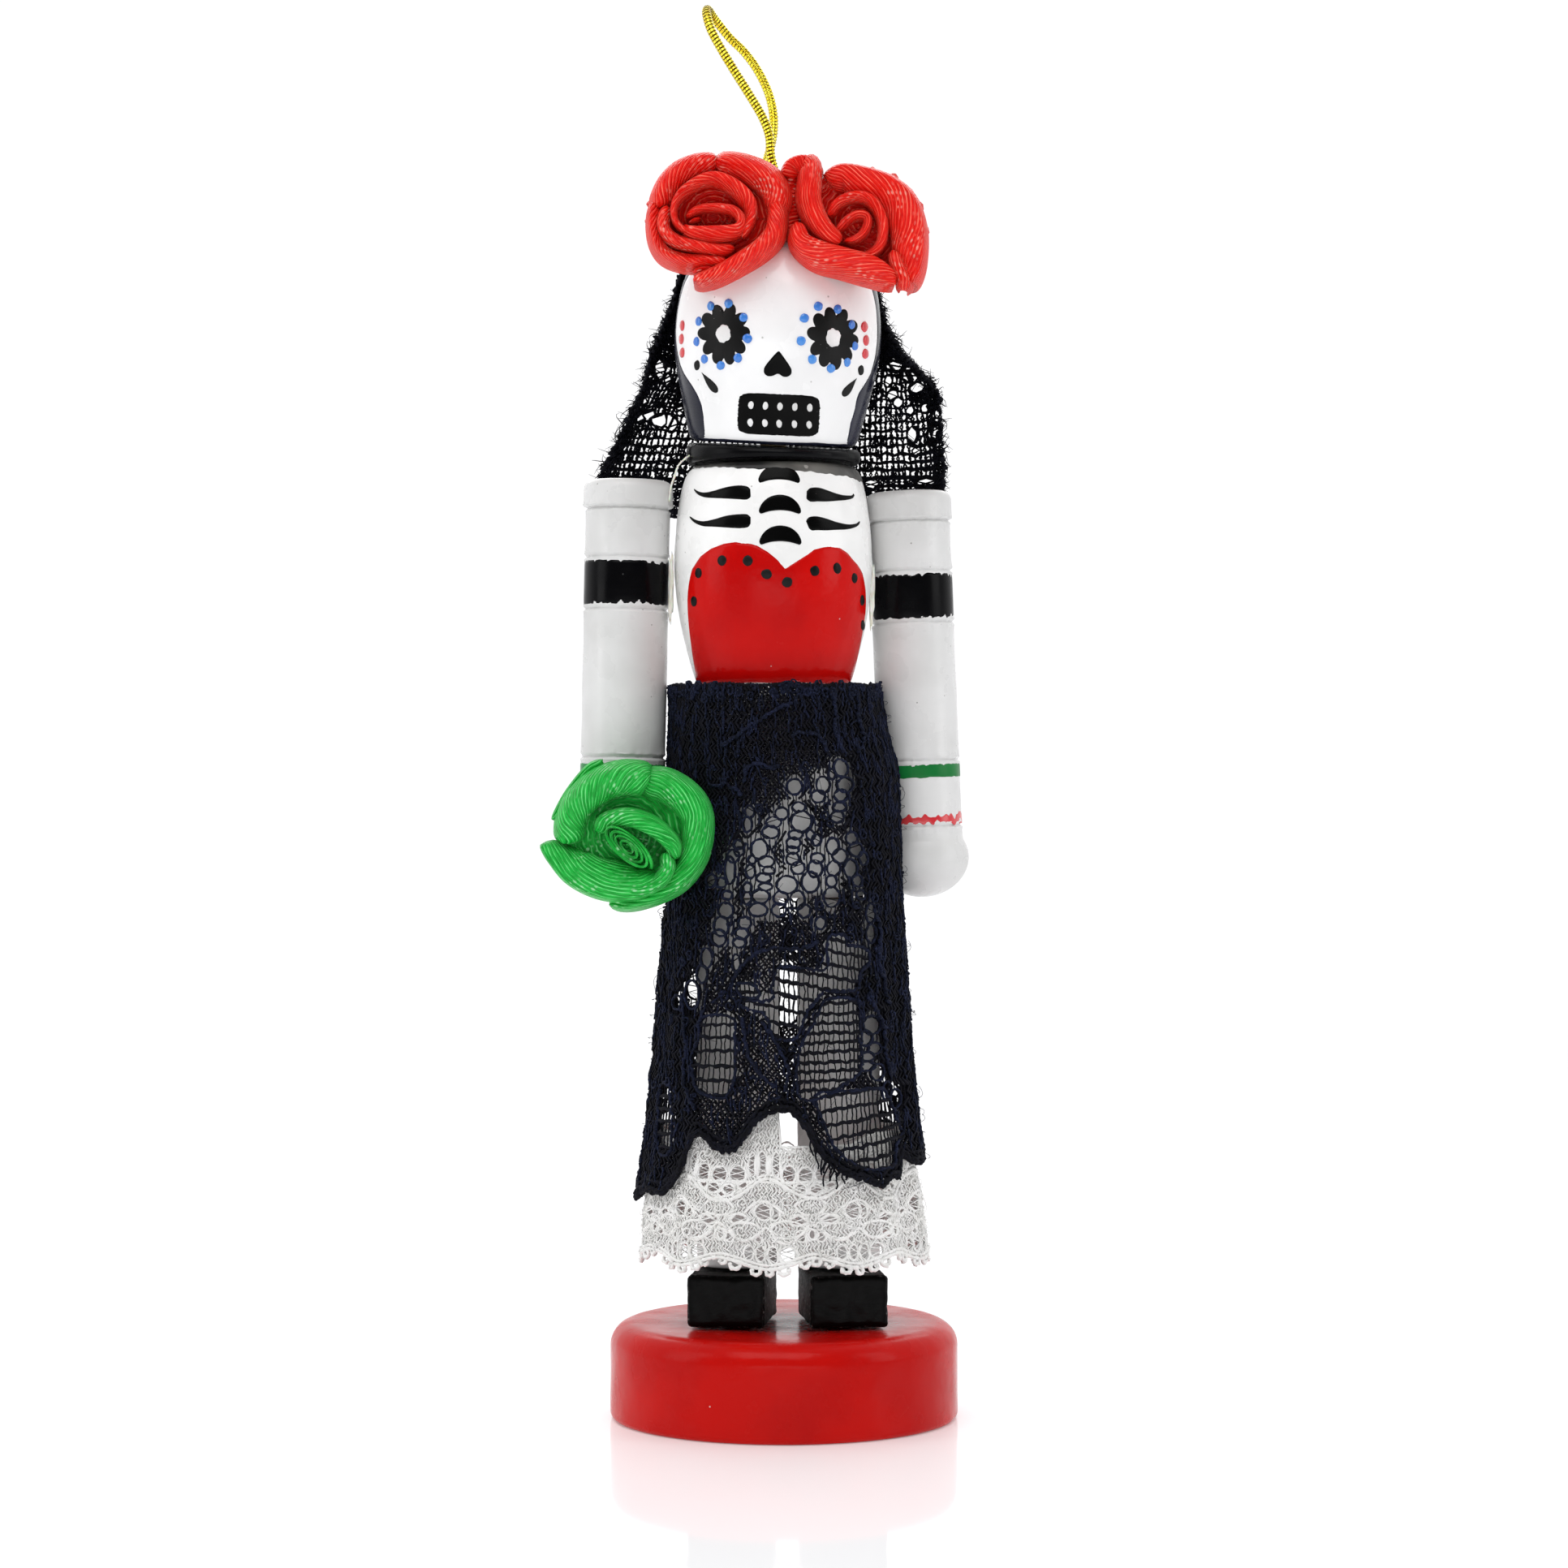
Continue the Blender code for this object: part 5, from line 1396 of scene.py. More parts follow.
def skirt_layers(lace, draw):
    """Warp, closed ground, weft of the windows, looped yarn, edges and fuzz."""
    column = np.arange(WARP_COUNT) * TAU / WARP_COUNT - math.pi
    pitch = TAU / WARP_COUNT
    angle, z = np.meshgrid(column, np.arange(SKIRT_TOP, SKIRT_LOW, -0.42), indexing="ij")
    sway = draw.normal(0, 1, angle.shape)
    sway = (sway + np.roll(sway, 1, 1) + np.roll(sway, 2, 1)) / 3
    angle, z = lace.part(angle + 0.2 * pitch * sway, z)
    warp = lace.threads(angle, z, 0.05 * np.sin(z * 2), 0.085, z > hem_height(angle) - 0.1, 3)
    ground = []
    for phase in (0, 1):
        rows = np.arange(SKIRT_TOP, SKIRT_LOW, -0.72)
        angle, z = np.meshgrid(column, rows, indexing="ij")
        swing = zigzag(len(rows), phase, 0.62)
        angle = angle + (swing + draw.normal(0, 0.10, angle.shape)) * pitch
        z = z + draw.normal(0, 0.10, angle.shape)
        angle, z = lace.part(angle, z)
        out = (0.16 if phase else -0.16) + draw.normal(0, 0.05, z.shape)
        keep = skirt_closed(angle, z - 0.1) & ~lace.near_hole(angle, z, 1.55)
        ground += lace.threads(angle, z, out, 0.19, keep)
    lines = []
    for line in DRAWN_LINES:
        p = smooth_path(line, 0.3)
        p = p + draw.normal(0, 0.09, p.shape)
        for angle in both_sides(p[:, 0], p[:, 1]):
            lines.append(lace.yarn(draw, angle, p[:, 1], 0.42, 0.26, 0.4))
    weft = []
    for outline, gap, slope in WINDOWS:
        low, high = np.min(outline, axis=0), np.max(outline, axis=0)
        x = np.arange(low[0] - 0.8, high[0] + 0.8, 0.30)
        level = high[1] + abs(slope) * 6 - gap * 0.6
        while level > low[1] - abs(slope) * 6:
            z = level + slope * (x - (low[0] + high[0]) / 2) + 0.1 * smoothed(draw, len(x))
            z = z + 0.08 * np.sin(x * 5.2 + level)
            shown = inside(outline, x, z)
            shown = shown | np.roll(shown, 2) | np.roll(shown, -2)
            for angle in both_sides(x, z):
                for a, b in runs(shown, 4):
                    weft.append(lace.yarn(draw, angle[a:b], z[a:b], 0.1, 0.23, 0.15, 0.02))
            level -= gap * (0.9 + 0.2 * draw.random())
        p = smooth_path(outline, 0.33, closed=True)
        p = np.vstack([p, p[:1]]) + draw.normal(0, 0.07, (len(p) + 1, 2))
        for angle in both_sides(p[:, 0], p[:, 1]):
            lines.append(lace.yarn(draw, angle, p[:, 1], 0.22, 0.22, 0.3))
    edges = []
    angle = np.linspace(-math.pi, math.pi, 420)
    for drop, thick in TOP_CORDS:
        z = SKIRT_TOP - drop + 0.12 * np.sin(angle * 9) + draw.normal(0, 0.05, len(angle))
        edges.append(lace.yarn(draw, angle, z, 0.1, thick, 0.3, 0.03))
    for rise, thick, out in HEM_CORDS:
        z = hem_height(angle) + rise + draw.normal(0, 0.09, len(angle))
        edges.append(lace.yarn(draw, angle, z, out, thick, 0.35, 0.05))
    for _ in range(HEM_LOOPS):
        t = np.linspace(0, math.pi, 7)
        size = draw.uniform(0.15, 0.34)
        angle = draw.uniform(-math.pi, math.pi) + size * np.cos(t) / 15
        edges.append(lace.yarn(draw, angle, hem_height(angle) - size * np.sin(t) * 1.1, 0.1, 0.17))
    for start, count, long in HEM_FRAYS:
        t = np.linspace(0, 1, 9)
        for i in range(count):
            a0 = start + i * 0.022 + draw.normal(0, 0.006)
            length = long * draw.uniform(0.45, 1.1)
            angle = a0 + draw.normal(0, 0.03) * t + 0.012 * np.sin(t * draw.uniform(3, 9))
            z = hem_height(np.array(a0)) + 0.6 - length * t
            edges.append(lace.thread(angle, z, 0.15 + draw.uniform(-0.1, 0.5) * t ** 2, 0.10))
    lines += lace.rings(draw, both_sides, 0.17)
    curls = lace.knots(draw, 300, 35, 75, skirt_closed, SKIRT_STEP, 0.17)
    curls += lace.knots(draw, 130, 82.9, 84.0, skirt_closed, SKIRT_STEP, 0.2)
    curls += lace.dashes(draw, 3600, 27, 83.6, skirt_closed, (0.7, 2.2), 0.13, 0.34, SKIRT_STEP)
    hairs = lace.fuzz(draw, 480, 25, 84.2, lambda a, z: z > hem_height(a), SKIRT_STEP, 0.7)
    return (("warp", warp, "lace_black", 4), ("ground", ground, "lace_black", 4),
            ("weft", weft, "lace_black", 6), ("curls", curls, "lace_boucle", 4),
            ("lines", lines, "lace_boucle", 6), ("edges", edges, "lace_black", 6),
            ("fuzz", hairs, "lace_boucle", 4))


def make_skirt(mats):
    holes = np.array(NET_HOLES) * (1, 1, HOLE_STRETCH, HOLE_STRETCH)
    lace = Lace(skirt_surface, skirt_across, skirt_stretch, holes)
    pieces = cloth_pieces("skirt", skirt_layers(lace, rnd(101)), mats, "black_lace")
    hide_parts("skirt_lace")


# ---------------------------------------------------------------- petticoat

REPEATS = 9
REPEAT_TURN = TAU / REPEATS
REPEAT_CENTRE = math.radians(-7.5)
PETTICOAT_REACH = 15.3
REPEAT = REPEAT_TURN * PETTICOAT_REACH
PETTICOAT_STEP = (FULL_TURN, 1 / PETTICOAT_REACH)
PETTICOAT_LOW = 18.3
PETTICOAT_COLUMNS = 24
# top edge by angle in degrees
PETTICOAT_TOP = np.array((
    (-180, 26.8), (-172, 27.2), (-166, 33.2), (-60, 33.4), (-45, 34.3), (-22, 34.3), (-17, 36.2),
    (-8, 36.6), (-2.6, 36.2), (-1.6, 32.4), (32, 32.4), (45, 33.6), (110, 33.0), (166, 33.2),
    (172, 27.2), (180, 26.8)))
# one repeat's holes: along the repeat from its middle, height, half width, half height
PETTICOAT_HOLES = (
    (-3.7, 29.2, .85, .75), (-1.9, 30.3, .36, 1.1), (-.7, 30.2, .5, 1.3), (1.1, 30.4, .36, 1.1),
    (2.6, 29.3, .62, .8), (4.6, 29.1, .78, .75), (3.9, 27.65, .62, .45), (-4.75, 27.5, .65, .45),
    (-3.0, 28.0, .45, .4), (2.55, 28.0, .45, .35), (5.0, 26.95, .42, .24), (-3.7, 27.0, .42, .24),
    (-.35, 25.15, .9, .72), (1.05, 25.05, .42, .66), (3.7, 24.2, .8, .42), (-3.4, 24.35, .9, .38),
    (3.9, 22.5, .55, .48), (5.1, 22.6, .45, .5), (-5.25, 22.6, .45, .42), (-4.3, 22.3, .4, .4),
    (-1.0, 22.0, .3, .3), (-2.1, 20.6, .42, .65), (-.75, 20.5, .42, .7), (.8, 20.4, .5, .75),
    (2.4, 20.5, .68, .7),
)
# one repeat's padded leaves, measured like the holes
PETTICOAT_LEAVES = ((5.1, 25.35, 1.95, 0.95), (-2.6, 23.1, 1.75, 0.95), (2.5, 23.05, 1.9, 0.95))
# one repeat's cords: along the repeat and height
PETTICOAT_CORDS = (
    ((-2.8, 24.9), (-1.7, 25.8), (-.5, 26.35), (.8, 26.1), (1.8, 25.2), (2.4, 24.7)),
    ((-4.4, 23.3), (-3.6, 22.5), (-2.6, 22.0), (-1.2, 22.4), (0.0, 23.3), (1.2, 22.2),
     (2.5, 21.9), (3.9, 22.6), (4.8, 23.5), (5.4, 23.7), (6.3, 23.3)),
    ((-4.6, 24.2), (-3.4, 24.9), (-2.4, 24.3)), ((2.6, 24.3), (3.5, 24.8), (4.6, 24.3)),
)
# one repeat's upright bars: along the repeat, height, half height, thread radius
PETTICOAT_BARS = ((-1.3, 30.3, 1.25, 0.42), (0.2, 30.3, 1.2, 0.42), (-2.7, 29.2, .7, .2),
                  (3.6, 29.1, .7, .2), (1.75, 29.6, .9, .2))
PETTICOAT_ROWS_TOP = 37
PETTICOAT_LOOPS = 54


def petticoat_surface(angle, z, out=0.0):
    ripple = 0.22 * np.sin(14 * angle + 0.06 * z) * np.clip((34 - z) / 12, 0, 1)
    return skirt_surface(angle, z, out + ripple, PETTICOAT_INSET)


def petticoat_across(angle, z):
    """Every repeat has the same pattern."""
    turn = (angle - REPEAT_CENTRE + REPEAT_TURN / 2) % REPEAT_TURN - REPEAT_TURN / 2
    return turn * PETTICOAT_REACH + 0 * z


def petticoat_top(angle):
    return edge_height(PETTICOAT_TOP, angle)


def petticoat_hem(angle):
    return 19.35 - 0.6 * np.cos((angle - REPEAT_CENTRE) * REPEATS)


def petticoat_inside(angle, z):
    return (z > petticoat_hem(angle)) & (z < petticoat_top(angle))


def petticoat_layers(lace, draw):
    """Warp, closed ground, padded leaves and cords, loops of the hem, stitches and fuzz."""
    count = REPEATS * PETTICOAT_COLUMNS
    pitch = TAU / count
    column = np.arange(count) * pitch - math.pi
    heights = np.arange(PETTICOAT_ROWS_TOP, PETTICOAT_LOW, -0.36)
    angle, z = np.meshgrid(column, heights, indexing="ij")
    angle, z = lace.part(angle + 0.12 * pitch * draw.normal(0, 1, angle.shape), z)
    warp = lace.threads(angle, z, 0.04 * np.sin(z * 3), 0.105, petticoat_inside(angle, z), 3)
    ground = []
    for phase in (0, 1):
        rows = np.arange(PETTICOAT_ROWS_TOP, PETTICOAT_LOW, -0.5)
        angle, z = np.meshgrid(column, rows, indexing="ij")
        swing = zigzag(len(rows), phase, 0.55)
        angle = angle + (swing + draw.normal(0, 0.08, angle.shape)) * pitch
        angle, z = lace.part(angle, z + draw.normal(0, 0.06, angle.shape))
        out = (0.12 if phase else -0.12) + draw.normal(0, 0.03, z.shape)
        ground += lace.threads(angle, z, out, 0.122, petticoat_inside(angle, z))
    cords = []
    t = np.linspace(0, TAU, 26)
    for k in range(REPEATS):
        middle = REPEAT_CENTRE + k * REPEAT_TURN + draw.normal(0, 0.012)
        for x, z, rx, rz in PETTICOAT_LEAVES:
            angle = middle + (x + rx * np.cos(t)) / PETTICOAT_REACH
            pinch = 1 - 0.25 * np.abs(np.cos(t)) ** 3
            drift = draw.normal(0, 0.12) + 0.1 * np.sin(2 * t + draw.uniform(0, 6))
            cords.append(lace.yarn(draw, angle, z + rz * np.sin(t) * pinch + drift, 0.14, 0.19,
                                   0.35, 0.05))
        for line in PETTICOAT_CORDS:
            p = smooth_path(line, 0.35)
            angle = middle + p[:, 0] / PETTICOAT_REACH
            drift = 0.14 * np.sin(p[:, 0] * 1.3 + draw.uniform(0, 6))
            cords.append(lace.yarn(draw, angle, p[:, 1] + drift, 0.14, 0.2, 0.35, 0.05))
        for x, z, tall, thick in PETTICOAT_BARS:
            s = np.linspace(-1, 1, 9)
            angle = middle + (x + 0.06 * draw.normal(0, 1)) / PETTICOAT_REACH + 0 * s
            radii = thick * np.sqrt(np.clip(1.02 - s ** 2, 0.1, 1))
            cords.append(lace.thread(angle, z + tall * s, 0.1, radii))
    angle = np.linspace(-math.pi, math.pi, 400)
    wave = ((1 + np.cos((angle - REPEAT_CENTRE) * REPEATS)) / 2) ** 1.4
    drift = 0.2 * np.sin(5 * angle + 1) + 0.12 * np.sin(13 * angle)
    cords.append(lace.yarn(draw, angle, 26.45 + 2.4 * wave + drift, 0.18, 0.25, 0.3, 0.05))
    cords.append(lace.yarn(draw, angle, 26.9 + 2.4 * wave + drift, 0.1, 0.17, 0.4, 0.05))
    cords.append(lace.yarn(draw, angle, petticoat_hem(angle) + 0.05, 0.1, 0.27, 0.35, 0.06))
    cords.append(lace.yarn(draw, angle, petticoat_hem(angle) + 0.5, 0.15, 0.2, 0.35, 0.06))
    cords.append(lace.yarn(draw, angle, 28.42 + 0 * angle, 0.1, 0.17, 0.2, 0.04))
    top = petticoat_top(angle) - 0.1
    cords.append(lace.yarn(draw, angle, top, 0.05, 0.17, 0.2, 0.04))
    for k in range(PETTICOAT_LOOPS):
        start = k * TAU / PETTICOAT_LOOPS + draw.normal(0, 0.012)
        size = draw.uniform(0.30, 0.58)
        t = np.linspace(-0.6, math.pi + 0.6, 12)
        angle = start + size * np.cos(t) / PETTICOAT_REACH
        z = petticoat_hem(start) - 0.15 - size * (0.55 + np.sin(t)) * 0.8
        cords.append(lace.yarn(draw, angle, z, 0.12, 0.28, 0.3, 0.05))
    repeats = (lambda x, z: [REPEAT_CENTRE + k * REPEAT_TURN + x / PETTICOAT_REACH
                             for k in range(REPEATS)])
    cords += lace.rings(draw, repeats, 0.14, 0.1)
    clear, step = petticoat_inside, PETTICOAT_STEP
    stitches = lace.dashes(draw, 3600, 19, 36, clear, (0.35, 0.9), 0.10, 0.24, step)
    stitches += lace.knots(draw, 500, 19, 33, clear, step, 0.12)
    hairs = lace.fuzz(draw, 200, 18.2, 33, clear, step, 0.4)
    return (("warp", warp, "lace_white", 4), ("ground", ground, "lace_white", 4),
            ("cords", cords, "lace_white", 6), ("stitches", stitches + hairs, "lace_white", 4))


def make_petticoat(mats):
    holes = [(x, z, rx * HOLE_STRETCH, rz * HOLE_STRETCH) for x, z, rx, rz in PETTICOAT_HOLES]
    for x, z, rx, rz in list(holes):
        if abs(x) > REPEAT / 2 - 1:
            holes.append((x - math.copysign(REPEAT, x), z, rx, rz))
    stretch = (lambda angle, z: PETTICOAT_REACH)
    lace = Lace(petticoat_surface, petticoat_across, stretch, holes)
    pieces = cloth_pieces("petticoat", petticoat_layers(lace, rnd(103)), mats, "white_lace")
    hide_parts("petticoat_lace")


# ---------------------------------------------------------------- veil

# rows down the veil: centre x, half width, y and height at its edges, y and height at its back
VEIL_ROWS = np.array((
    (-.7, 11.9, .6, .6, 130.8, 137.4), (-.7, 12.2, 1.2, 7.6, 128.5, 137.0),
    (-.7, 13.0, 2.0, 11.9, 125.5, 133.2), (-.5, 14.6, 3.5, 13.2, 122.0, 128.5),
    (.6, 16.9, 5.0, 13.4, 118.5, 123.0), (-.6, 18.8, 6.5, 13.4, 114.0, 117.0),
    (-1.3, 20.2, 7.5, 13.3, 110.6, 110.6), (-1.8, 20.9, 8.2, 13.2, 107.6, 104.0)))
VEIL_COLUMNS = 66
VEIL_FIBRES = 260
VEIL_SHUT_ABOVE, VEIL_SHUT_BELOW = 122.4, 109.2
# thread radius of the weft by height
VEIL_WEFT = ((108, 113, 118, 124), (0.33, 0.24, 0.17, 0.24))
VEIL_STEP = ((-1.0, 1.0), 1 / 18)
# open holes in the veil: x, height, half width, half height
VEIL_HOLES = (
    (-16.3, 121.6, .5, .55), (-15.4, 121.0, .45, .4), (-14.4, 121.6, .4, 1.2),
    (-13.7, 120.6, .35, .7), (-17.3, 118.8, .6, .6), (-18.3, 117.9, .5, .55),
    (-16.4, 118.0, .35, .3), (-15.8, 116.5, .75, .55), (-14.4, 115.8, 1.1, .6),
    (-13.2, 115.7, .6, .8), (-16.9, 115.9, .5, .4), (-12.3, 117.3, .35, .5),
    (12.9, 122.3, 1.0, .7), (14.9, 121.1, 1.1, .6), (15.5, 119.5, .75, .5), (12.8, 118.9, .6, .55),
    (13.5, 118.1, .55, .5), (12.2, 120.6, .4, .6), (17.4, 115.9, .6, .7), (17.4, 114.1, .65, .85),
    (15.2, 114.1, .45, .9), (16.3, 117.2, .4, .4), (14.9, 117.1, .4, .4), (10.3, 108.4, .9, .5),
    (16.9, 108.6, 1.1, .5), (18.1, 112.4, .4, .6), (15.6, 112.2, .4, .5), (-19.0, 115.2, .4, .4),
    (5.2, 121.0, .8, .8), (2.9, 117.4, .9, .6), (-3.8, 118.4, .9, .7), (-6.6, 122.6, .7, .9),
    (-1.1, 123.4, .8, .6), (7.6, 116.2, .7, .7), (-7.9, 114.9, .8, .6),
)
# outlines between the holes that stay closed: x and height
VEIL_CLOSED = (
    [(-14.0, 119.9), (-11.4, 121.0), (-10.8, 116.2), (-12.2, 116.2), (-13.4, 117.6)],
    [(14.2, 118.9), (17.6, 119.6), (18.2, 117.0), (17.2, 116.7), (15.0, 118.4)],
)


def veil_place(share, z):
    """Point on the veil at a share across and a height."""
    share = np.clip(share, -1, 1)
    bow = np.sqrt(1 - share ** 2)
    rows = [[VEIL_ROWS[k, i] + 0 * bow for i in range(6)] for k in range(len(VEIL_ROWS))]
    heights = [r[4] + (r[5] - r[4]) * bow for r in rows]
    mixed = [rows[0][i] * 1.0 for i in range(6)]
    for k in range(len(rows) - 1):
        part = np.clip((heights[k] - z) / (heights[k] - heights[k + 1]), 0, 1)
        below = z < heights[k]
        for i in range(6):
            mixed[i] = np.where(below, rows[k][i] + (rows[k + 1][i] - rows[k][i]) * part, mixed[i])
    x = mixed[0] + mixed[1] * share
    y = mixed[2] + (mixed[3] - mixed[2]) * bow
    return np.stack([x, y, z + 0 * bow], axis=-1)


def veil_surface(share, z, out=0.0):
    share, z = np.broadcast_arrays(np.asarray(share, float), np.asarray(z, float))
    point = veil_place(share, z)
    e = 0.01
    inner = np.clip(share, -1 + 2 * e, 1 - 2 * e)
    across = veil_place(inner + e, z) - veil_place(inner - e, z)
    down = veil_place(share, z - 0.2) - veil_place(share, z + 0.2)
    normal = np.cross(down, across)
    size = np.linalg.norm(normal, axis=-1, keepdims=True)
    normal = np.where(size > 1e-9, normal / (size + 1e-12), np.array([0.0, 1.0, 0.0]))
    fold = 0.35 * np.sin(7 * share + 0.25 * z) + 0.2 * np.sin(15 * share - 0.3 * z)
    return point + normal * (out + fold)[..., None], normal


def veil_across(share, z):
    return veil_place(share, z)[..., 0]


def veil_stretch(share, z):
    return (veil_across(share + 0.01, z) - veil_across(share - 0.01, z)) / 0.02 + 1e-3


def veil_row_height(row, share):
    bow = np.sqrt(np.clip(1 - share ** 2, 0, 1))
    return row[4] + (row[5] - row[4]) * bow


def veil_top(share):
    return veil_row_height(VEIL_ROWS[0], share)


def veil_hem(share):
    return veil_row_height(VEIL_ROWS[-1], share)


def veil_inside(share, z):
    return (np.abs(share) <= 1) & (z > veil_hem(share)) & (z < veil_top(share))


def veil_layers(lace, draw):
    """Warp, closed patches, weft, frayed edges and loose yarn."""
    t = np.linspace(-1, 1, 400) * math.pi / 2
    arc_length = np.concatenate([[0], np.cumsum(np.hypot(np.diff(np.sin(t)),
                                                         0.4 * np.diff(np.cos(t))))])
    even = np.linspace(0, arc_length[-1], VEIL_COLUMNS)
    column = np.sin(np.interp(even, arc_length, t))
    pitch = 2 / VEIL_COLUMNS
    warp, weft, closed = [], [], []
    for phase in (0, 1):
        heights = np.arange(137.2, 103.8, -0.46)
        share, z = np.meshgrid(column, heights, indexing="ij")
        swing = zigzag(len(heights), phase, 0.16)
        share = share + (swing + draw.normal(0, 0.1, share.shape)) * pitch
        share, z = lace.part(share, z)
        keep = veil_inside(share, z)
        share = np.clip(share, -1, 1)
        warp += lace.threads(share, z, draw.normal(0, 0.06, z.shape), 0.13, keep, 3)
        swing = zigzag(len(heights), phase, 0.6)
        wide = np.clip(column[:, None] + (swing + draw.normal(0, 0.12, share.shape)) * pitch, -1, 1)
        wide, z = lace.part(wide, z)
        x = lace.across(wide, z)
        shut = (z > VEIL_SHUT_ABOVE) | (z < VEIL_SHUT_BELOW)
        for outline in VEIL_CLOSED:
            shut = shut | inside(outline, x, z)
        closed += lace.threads(np.clip(wide, -1, 1), z, 0.12 * (1 - 2 * phase), 0.17,
                               shut & keep)
    level = 137.0
    while level > 104:
        share = np.linspace(-1, 1, 130)
        z = level + 0.12 * smoothed(draw, len(share)) + 0.07 * np.sin(share * 70 + level)
        share, z = lace.part(share, z, sideways=False)
        share = np.clip(share, -1, 1)
        for a, b in runs(veil_inside(share, z), 4):
            radius = np.interp(z[a:b], *VEIL_WEFT) * (1 + 0.22 * draw.normal(0, 1, b - a))
            weft.append(lace.thread(share[a:b], z[a:b], 0.1 * draw.normal(0, 1, b - a), radius))
        level -= 0.93 * (0.94 + 0.12 * draw.random())
    edges = []
    for side in (-1, 1):
        for set_in in (0.0, 0.022, 0.045):
            z = np.arange(130.6, 107.7, -0.35)
            share = side * (1 - set_in - 0.012 * np.abs(draw.normal(0, 1, len(z))))
            edges.append(lace.yarn(draw, share, z, 0, 0.27, 0.5, 0.14))
        for _ in range(VEIL_FIBRES):
            z0 = draw.uniform(108, 130)
            s = np.linspace(0, 1, 6)
            z = z0 + draw.normal(0, 0.7) * s
            share = side * (1 - 0.03 * draw.random()) + 0 * s
            points, normals = veil_surface(share, z, 0)
            outward = np.array([side, 0.25 * draw.normal(), 0.4 * draw.normal()])
            curl = 0.5 * np.sin(s * draw.uniform(2, 5))[:, None] * draw.normal(0, 1, 3)
            reach = draw.uniform(0.25, 1.0)
            points = points + (s[:, None] * outward + curl * s[:, None]) * reach
            edges.append((points, normals, 0.07 * (1.2 - s)))
    share = np.linspace(-1, 1, 160)
    for rise in (0.1, 0.5):
        edges.append(lace.yarn(draw, share, veil_hem(share) + rise, 0, 0.26, 0.4, 0.08))
    edges.append(lace.yarn(draw, share, veil_top(share) - 0.1, 0, 0.25, 0.4, 0.08))
    curls = lace.knots(draw, 260, 108, 134, veil_inside, VEIL_STEP, 0.17)
    curls += lace.dashes(draw, 1300, 105, 136, veil_inside, (0.5, 1.4), 0.14, 0.2, VEIL_STEP)
    curls += lace.fuzz(draw, 420, 105, 136, veil_inside, VEIL_STEP, 0.8)
    return (("warp", warp, "lace_black", 4), ("closed", closed, "lace_black", 4),
            ("weft", weft, "lace_black", 4), ("edges", edges, "lace_black", 6),
            ("curls", curls, "lace_black", 4))


def make_veil(mats):
    lace = Lace(veil_surface, veil_across, veil_stretch, VEIL_HOLES)
    pieces = cloth_pieces("veil", veil_layers(lace, rnd(107)), mats, "black_lace", False)
    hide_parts("veil_lace")


# ---------------------------------------------------------------- roses

RIBBON_THICK = 0.2
CREST_SPACING = 0.3
SECTION = np.linspace(-1, 1, 21)


def rolled_band(crest, falls, middle, turn, draw, ripple=0.05):
    """A ribbon folded over along a line.

    Crest points are x, z, lift, width on the inner side, width on the outer side;
    falls are how deep the ribbon goes on the inner and outer side."""
    line = smooth_path(crest, CREST_SPACING)
    n = len(line)
    run = np.arange(n) * CREST_SPACING
    along = np.gradient(line[:, :2], axis=0)
    along /= np.linalg.norm(along, axis=1, keepdims=True) + 1e-9
    outward = np.column_stack([along[:, 1], -along[:, 0]])
    if np.sum(outward * (line[:, :2] - middle)) < 0:
        outward = -outward
    near_end = np.minimum(run, run[-1] - run)
    tuck = np.clip(near_end / 1.3, 0, 1)
    tuck = np.sqrt(1 - (1 - tuck) ** 2)
    bend = np.radians(97) * np.abs(SECTION)
    width = np.where(SECTION[None, :] < 0, line[:, 3:4], line[:, 4:5])
    width = width * (0.45 + 0.55 * tuck[:, None])
    side = np.sign(SECTION)[None, :] * np.sin(bend)[None, :] * width
    fall = np.where(SECTION < 0, falls[0], falls[1])
    depth = fall[None, :] * (1 - np.cos(bend))[None, :] + 0.9 * (1 - tuck[:, None])
    crease = draw.normal(0, 1, (3, len(SECTION)))
    phase = draw.uniform(0, 6, 3)
    for k in range(3):
        smooth = np.convolve(crease[k], np.ones(3) / 3, mode="same")
        depth = depth + ripple * smooth[None, :] * (1 + np.sin(run * 0.5 + phase[k]))[:, None]
    x = line[:, 0:1] + outward[:, 0:1] * side
    z = line[:, 1:2] + outward[:, 1:2] * side
    top = np.stack([x, -(line[:, 2:3] - depth), z], axis=-1)
    across = np.gradient(top, axis=1)
    lengthwise = np.gradient(top, axis=0)
    normal = np.cross(across, lengthwise)
    normal /= np.linalg.norm(normal, axis=2, keepdims=True) + 1e-9
    if normal[n // 2, len(SECTION) // 2, 1] > 0:
        normal = -normal
    under = top - normal * RIBBON_THICK
    if np.sum(np.cross(lengthwise, across)[n // 2, len(SECTION) // 2]
              * normal[n // 2, len(SECTION) // 2]) < 0:
        top, under = top[:, ::-1], under[:, ::-1]
    verts, faces = slab(top, under)
    steps = np.linalg.norm(np.diff(top, axis=1), axis=2)
    v = np.concatenate([np.zeros((n, 1)), np.cumsum(steps, axis=1)], axis=1)
    u = np.broadcast_to(run[:, None], v.shape)
    cos, sin = math.cos(turn), math.sin(turn)
    uv = np.stack([u * cos - v * sin, u * sin + v * cos], axis=-1).reshape(-1, 2)
    uv = uv + draw.uniform(0, 40, 2)
    return verts, faces, np.vstack([uv, uv])


